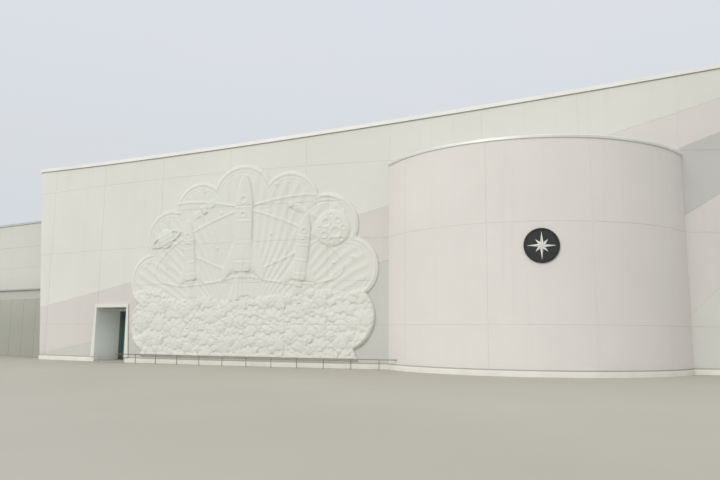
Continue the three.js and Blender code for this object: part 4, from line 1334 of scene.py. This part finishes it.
# Roof: welded seams, a membrane upstand round the edge, drains, and the hatch's lid
SEAM = Sizes(half=0.05, height=0.008, step=2.0, front=0.08, rear=0.07, sunk=0.003)
SEAM_BY_HATCH = Sizes(front=0.01, rear=0.06)
UPSTAND_PROFILE = ((0.0, -0.002), (0.0, 0.3), (-0.008, 0.3), (-0.008, 0.06), (-0.068, 0.0), (-0.068, -0.002))
UPSTAND_GAP = 0.002
UPSTAND_FACETS = 48
INSIDE_RADIUS = WALL.radius - WALL_THICKNESS
HATCH = Sizes(x=10.0, y=-61.0, width=1.1, length=1.4)
HATCH_LINING = Sizes(drop=0.004, inset=0.13, gasket=0.02)
# the membrane dressed up the curb, as (out, up)
HATCH_COLLAR = (
    (0.002, -0.003), (0.14, -0.003), (0.14, 0.005), (0.02, 0.012), (0.008, 0.03), (0.006, 0.16),
    (0.002, 0.16),
)
DRAINS = ((-18.9, -60.0), (-18.9, -66.0))
DRAIN = Sizes(radius=0.2, top=0.17, ups=(-0.002, 0.02))
GRATE = Sizes(
    up=0.015, foot=0.12, crown=0.045, rise=0.09, bars=10, bar=0.008, cap=0.055, cap_ups=(0.095, 0.11),
)


def roof_seams():
    rear = REAR_Y - SIDE_THICKNESS - SEAM.rear
    parts = []
    for x in steps_between(-SIDE_X, SIDE_X, SEAM.step):
        front = -math.sqrt((INSIDE_RADIUS - SEAM.front) ** 2 - x * x)
        runs = [(front, rear)]
        if abs(x - HATCH.x) < HATCH.width / 2 + SEAM.half:
            half = HATCH.length / 2
            runs = [
                (front, HATCH.y - half - SEAM_BY_HATCH.front),
                (HATCH.y + half + SEAM_BY_HATCH.rear, rear),
            ]
        for run in runs:
            parts.append(box((x - SEAM.half, x + SEAM.half), run, (-SEAM.sunk, SEAM.height)))
    for x, y in DRAINS:
        low, high = DRAIN.ups
        parts.append(rod((x, y, low), (x, y, high), DRAIN.radius, 28, tip=DRAIN.top))
    bm = joined(parts)
    for vertex in bm.verts:
        vertex.co.z += roof_height(vertex.co.x)
    make("roof_seams", bm, [MEMBRANE])


def drain_grates():
    parts = []
    for x, y in DRAINS:
        up = roof_height(x)
        for i in range(GRATE.bars):
            turn = 2 * math.pi * i / GRATE.bars
            way = Vector((math.cos(turn), math.sin(turn), 0))
            foot = Vector((x, y, up + GRATE.up))
            crown = foot + way * GRATE.crown + Vector((0, 0, GRATE.rise))
            parts.append(rod(foot + way * GRATE.foot, crown, GRATE.bar, 8))
        low, high = GRATE.cap_ups
        parts.append(rod((x, y, up + low), (x, y, up + high), GRATE.cap, 20))
    make("roof_drain_grates", joined(parts), [BRONZE])


def roof_upstand():
    rear, x = REAR_Y - SIDE_THICKNESS, SIDE_X - SIDE_THICKNESS
    edge = math.degrees(math.asin(x / INSIDE_RADIUS))
    turns = [-edge + 2 * edge * i / UPSTAND_FACETS for i in range(UPSTAND_FACETS + 1)]
    front = [polar(INSIDE_RADIUS - UPSTAND_GAP, turn) for turn in turns]
    path = [(0, rear), (-x, rear), *front, (x, rear), (0, rear)]
    stations = mitred_stations(path, lambda corner: roof_height(corner.x))
    make("roof_upstand", sweep(UPSTAND_PROFILE, stations), [MEMBRANE])


def hatch_collar():
    x, half_width, half_length = HATCH.x, HATCH.width / 2, HATCH.length / 2
    left, right = x - half_width, x + half_width
    front, back = HATCH.y - half_length, HATCH.y + half_length
    path = [(x, back), (left, back), (left, front), (right, front), (right, back), (x, back)]
    stations = mitred_stations(path, lambda corner: roof_height(corner.x))
    make("hatch_collar", sweep(HATCH_COLLAR, stations), [MEMBRANE])


# Hatch lid: seat is the height of its hinge over the roof, past and front are how far it reaches over the
# curb, and ups are measured from the hinge
LID = Sizes(seat=0.336, hinge=0.02, past=0.05, front=0.07, back=0.0206, ups=(-0.025, 0.02))
LID_PANEL = Sizes(inset=0.1, ups=(0.015, 0.025))
LID_STRAP = Sizes(off=0.35, half=0.03, ends=(0.18, 0.004), ups=(0.018, 0.026))
LID_GRIP = Sizes(off=0.09, from_front=0.05, ups=(0.015, 0.055), radius=0.007)


def hatch_lid():
    x, back = HATCH.x, HATCH.y + HATCH.length / 2 + LID.hinge
    hinge = roof_height(x) + LID.seat
    half = HATCH.width / 2 + LID.past
    near, far = back - LID.back, back - HATCH.length - LID.front
    low = hinge + LID.ups[0]
    lining = (low - HATCH_LINING.drop, low)
    inset = HATCH_LINING.inset
    rim = inset - HATCH_LINING.gasket

    def plate(margin, ups, bevel):
        return box((x - half + margin, x + half - margin), (far + margin, near - margin), ups, bevel)

    def raised(ups):
        return [hinge + up for up in ups]

    parts = [
        plate(0, raised(LID.ups), 0.006),
        plate(LID_PANEL.inset, raised(LID_PANEL.ups), 0.004),
        plate(inset, lining, 0.002),
    ]
    for side in (-1, 1):
        gasket = (x + side * (half - inset), x + side * (half - rim))
        parts.append(box(gasket, (far + rim, near - rim), lining, 0.001, 2))
    for gasket in ((far + rim, far + inset), (near - inset, near - rim)):
        parts.append(box((x - half + rim, x + half - rim), gasket, lining, 0.001, 2))
    low, high = raised(LID_GRIP.ups)
    front, radius = far + LID_GRIP.from_front, LID_GRIP.radius
    for side in (-1, 1):
        strap = x + side * LID_STRAP.off
        ends = [near - end for end in LID_STRAP.ends]
        edges = (strap - LID_STRAP.half, strap + LID_STRAP.half)
        parts.append(box(edges, ends, raised(LID_STRAP.ups), 0.002, 1))
        grip = x + side * LID_GRIP.off
        parts.append(rod((grip, front, low), (grip, front, high), radius, 10, 1))
    reach = LID_GRIP.off + radius
    parts.append(rod((x - reach, front, high), (x + reach, front, high), radius, 10, 1))
    whole = joined(parts)
    make("hatch_lid_cover", whole, [ZINC, STEEL, RUBBER], ["hatch_lid"], body="hatch_lid")


# Low wing: set back from the front wall's left end, with a ledge and a bead across its front
WING = Sizes(setback=1.42, length=8.2, depth=7.6, wall=0.25, front=0.4, top=8.15)
WING_BEAD = Sizes(up=3.5, half=0.014, proud=0.012, back=0.02)
WING_LEDGE = Sizes(up=4.1, drop=0.07, proud=0.12, fall=0.015)
WING_JOINTS = (5.43, 6.71)
WING_REAR_JOINT = 5.1
WING_PANEL = Sizes(first=-7.75, step=1.24, count=7)
WING_GAP = 0.001  # between its lower and upper cladding, and between its walls and their coping
WING_ANGLE = -WALL_END.bottom
WING_X, WING_Y = polar(WALL.radius, WING_ANGLE)
ON_WING_LINE = straight(WING_X, WING_Y, WING_ANGLE)
WING_COPING = (
    (-0.29, 0.002), (-0.29, 0.11), (0.03, 0.12), (0.04, 0.11), (0.04, 0.018), (0.048, 0.0), (0.0, 0.0),
    (-0.25, 0.0),
)


def beside_hall(depth):
    """How far right along the wing's line the hall's side wall is, this far in."""
    c, s = math.cos(math.radians(WING_ANGLE)), math.sin(math.radians(WING_ANGLE))
    return (-SIDE_X - SEAT - WING_X + depth * s) / c


def on_wing(along, depth, up):
    return ON_WING_LINE(min(along, beside_hall(depth)), depth, up)


COPING_STRIP = Sizes(start=0.2, lap=0.04, height=0.112)
PAST_HALL = 0.1  # how far the rear wall's drawing runs on before it is clipped at the hall


def wing_front():
    setback, front = WING.setback, WING.front
    ends = left, right = -WING.length, beside_hall(setback)
    low, ledge, top = WING_BEAD.up, WING_LEDGE.up, WING.top
    outline = [(left, low), (right, low), (right, top), (left, top)]
    lines = level_lines((ledge, *WING_JOINTS), left, right)
    upper = grooved_slab(outline, lines, front, FLAT_STEP, front=setback)
    # the band below the ledge takes a grey that is partly painted shade
    coloured(upper, lambda along, up: 0 if up > ledge else 1)
    outline = [(left, 0), (right, 0), (right, low - WING_GAP), (left, low - WING_GAP)]
    places = [WING_PANEL.first + i * WING_PANEL.step for i in range(WING_PANEL.count)]
    lower = grooved_slab(outline, upright_lines(places, low), front, FLAT_STEP, front=setback)
    # the lower cladding takes a grey that is partly painted shade, with painted shading that lightens it
    # toward its top
    coloured(lower, lambda along, up: 2)
    depths = (setback - WING_BEAD.proud, setback + WING_BEAD.back)
    bead = box(ends, depths, (low - WING_BEAD.half, low + WING_BEAD.half), 0.004)
    walls = placed(joined([upper, lower, bead]), on_wing)
    paints = [WING_PAINT, WING_BAND, WING_LOW]
    make("wing_front_panels", walls, paints, ["wing_front_wall"])
    shelf = box(ends, (setback - WING_LEDGE.proud, setback - SEAT), (ledge - WING_LEDGE.drop, ledge))
    for vertex in shelf.verts:
        if vertex.co.z > ledge - WING_LEDGE.drop / 2 and vertex.co.y < setback - WING_LEDGE.proud / 2:
            vertex.co.z -= WING_LEDGE.fall
    make("wing_ledge_flashing", placed(shelf, on_wing), [ZINC], ["wing_ledge"])


def wing_walls():
    """The wing's rear and end walls."""
    rear, wall, top = WING.setback + WING.depth, WING.wall, WING.top
    corner = ON_WING_LINE(0, rear, 0)
    on_rear = straight(corner.x, corner.y, WING_ANGLE + 180)

    def clipped(along, depth, up):
        return on_rear(max(along, -beside_hall(rear - depth)), depth, up)

    corner = ON_WING_LINE(-WING.length, rear - wall, 0)
    on_end = straight(corner.x, corner.y, WING_ANGLE - 90)
    depth = WING.depth - wall - WING.front
    # name, left, right, upright joint, placing
    walls = (
        ("rear", -beside_hall(rear) - PAST_HALL, WING.length, WING_REAR_JOINT, clipped),
        ("end", 0, depth, depth / 2, on_end),
    )
    for name, left, right, middle, place in walls:
        outline = [(left, 0), (right, 0), (right, top), (left, top)]
        lines = level_lines(JOINT_HEIGHTS[:2], left, right) + upright_lines([middle], top)
        bm = grooved_slab(outline, lines, wall, FLAT_STEP, WIDE_JOINT, sealant=1)
        node = f"wing_{name}_wall"
        make(f"wing_{name}_panels", placed(bm, place), [WING_PAINT, SEALANT], [node])


def wing_coping():
    setback, rear, left = WING.setback, WING.setback + WING.depth, -WING.length
    base, right = WING.top + WING_GAP, beside_hall(setback)
    corners = ((beside_hall(rear - WING.wall), rear), (left, rear), (left, setback), (right, setback))
    path = [ON_WING_LINE(*corner, 0).to_2d() for corner in corners]
    alongs = (left + COPING_STRIP.start, right)
    depths = (setback + COPING_STRIP.start, setback + WING.front + COPING_STRIP.lap)
    strip = box(alongs, depths, (base, WING.top + COPING_STRIP.height))
    parts = [sweep(WING_COPING, mitred_stations(path, lambda corner: base)), placed(strip, on_wing)]
    make("wing_coping_metal", joined(parts), [ZINC], ["wing_coping"])


# CAD pieces whose shape is right, with their material and the width of a bevel
CAD_FINISHES = (
    ("entry_reveal_left", REVEAL, 0.004),
    ("entry_reveal_right", REVEAL, 0.004),
    # the soffit takes the grey of painted shade
    ("entry_soffit", SOFFIT_SHADE, 0.004),
    ("entry_back_wall", REVEAL, 0.004),
    ("entry_glass_left", GLASS, 0.001),
    ("entry_glass_right", GLASS, 0.001),
    ("floor_slab", SLAB, 0.004),
    ("wing_floor", SLAB, 0.004),
    ("roof_deck", MEMBRANE, 0.0),
    ("drum_roof", MEMBRANE, 0.0),
    ("wing_roof", MEMBRANE, 0.0),
    ("hatch_curb", ZINC, 0.003),
)
EDGE = Sizes(segments=2, angle=40)


def cad_finishes():
    for node, material, width in CAD_FINISHES:
        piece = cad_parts[node]
        for slot in piece.material_slots:
            slot.material = material
        if width:
            bevel = piece.modifiers.new("edge", "BEVEL")
            bevel.width = width * REAL
            bevel.segments = EDGE.segments
            bevel.limit_method = "ANGLE"
            bevel.angle_limit = math.radians(EDGE.angle)


front_wall()
coping()
plinths()
drum()
relief()
medallion()
entry()
doors()
low_rail()
hall()
roof_seams()
drain_grates()
roof_upstand()
hatch_collar()
hatch_lid()
wing_front()
wing_walls()
wing_coping()
cad_finishes()


# Floor, lights and camera
def floor():
    bm = bmesh.new()
    bmesh.ops.create_circle(bm, cap_ends=True, segments=96, radius=FLOOR_RADIUS)
    mesh = bpy.data.meshes.new("floor")
    bm.to_mesh(mesh)
    bm.free()
    g = material_graph("floor_pale")
    tone = g.mixed(g.remap(g.noise(0.25, detail=4.0)), srgb(168, 165, 152), srgb(174, 171, 158))
    g.set(Base_Color=tone, Roughness=0.7)
    mesh.materials.append(g.owner)
    piece = bpy.data.objects.new("floor", mesh)
    bpy.context.scene.collection.objects.link(piece)


# height as the sine of the elevation, colour
SKY_STOPS = (
    (0.0, (0.63, 0.68, 0.71, 1)),
    (0.55, (0.72, 0.76, 0.82, 1)),
    (0.95, (1.25, 1.27, 1.3, 1)),
)
SKY_COVER = Sizes(scale=3.2, stretch=(1, 1, 3), low=0.35, high=0.6, tint=(1.03, 1.0, 0.99, 1))


def sky():
    """A pale overcast sky, brighter overhead, with soft patches."""
    world = bpy.data.worlds.new("sky")
    bpy.context.scene.world = world
    g = Graph(world, "Generated")
    ramp = g.add("ShaderNodeValToRGB", {"Fac": g.level(g.place)})
    stops = ramp.color_ramp.elements
    for i, (place, colour) in enumerate(SKY_STOPS):
        stop = stops[i] if i < len(stops) else stops.new(place)
        stop.position, stop.color = place, colour
    patches = g.noise(SKY_COVER.scale, 4.0, 0.5, SKY_COVER.stretch)
    cover = g.remap(patches, SKY_COVER.low, SKY_COVER.high)
    g.set("Background", Color=g.mixed(cover, ramp.outputs["Color"], SKY_COVER.tint, "MULTIPLY"))


KEY = Sizes(energy=1.3, angle=35, colour=(1.0, 0.985, 0.955), towards=(0.47, 0.88, -0.62))
# a small lamp out of sight in the entry, from start toward end in the entry's own axes
ENTRY_FILL = Sizes(energy=1.1, size=0.4, start=(0.7, 0.75, 1.0), end=(-1.06, 1.2, 1.3))


def lamp(name, kind, towards):
    data = bpy.data.lights.new(name, kind)
    piece = bpy.data.objects.new(name, data)
    piece.rotation_euler = towards.to_track_quat("-Z", "Y").to_euler()
    bpy.context.scene.collection.objects.link(piece)
    return data, piece


def lights():
    sun, _ = lamp("key", "SUN", Vector(KEY.towards))
    sun.energy = KEY.energy
    sun.angle = math.radians(KEY.angle)
    sun.color = KEY.colour
    start, end = (ON_ENTRY(*place) * REAL for place in (ENTRY_FILL.start, ENTRY_FILL.end))
    fill, piece = lamp("entry_fill", "AREA", end - start)
    fill.energy = ENTRY_FILL.energy
    fill.size = ENTRY_FILL.size
    piece.location = start + ARC
    piece.visible_camera = False
    piece.visible_glossy = False


CAMERA = Sizes(angle=3.47, distance=102.47, height=1.529, turn=14.65, tilt=8.016, roll=0.482)
FOCAL_PIXELS = 667.63
FRAME_PIXELS = 720
SENSOR_WIDTH = 36
FAR_CLIP = 2000


def camera():
    data = bpy.data.cameras.new("camera")
    data.sensor_width = SENSOR_WIDTH
    data.lens = FOCAL_PIXELS / FRAME_PIXELS * SENSOR_WIDTH
    data.clip_end = FAR_CLIP
    lens = bpy.data.objects.new("camera", data)
    place = Vector((*polar(1, CAMERA.angle), 0)) * CAMERA.distance
    place.z = CAMERA.height
    turns = Matrix.Identity(4)
    for degrees, axis in ((CAMERA.turn, "Z"), (90 + CAMERA.tilt, "X"), (CAMERA.roll, "Z")):
        turns = turns @ Matrix.Rotation(math.radians(degrees), 4, axis)
    lens.matrix_world = Matrix.Translation(place * REAL + ARC) @ turns
    bpy.context.scene.collection.objects.link(lens)
    bpy.context.scene.camera = lens
    bpy.context.scene.view_settings.view_transform = "Standard"


floor()
sky()
lights()
camera()
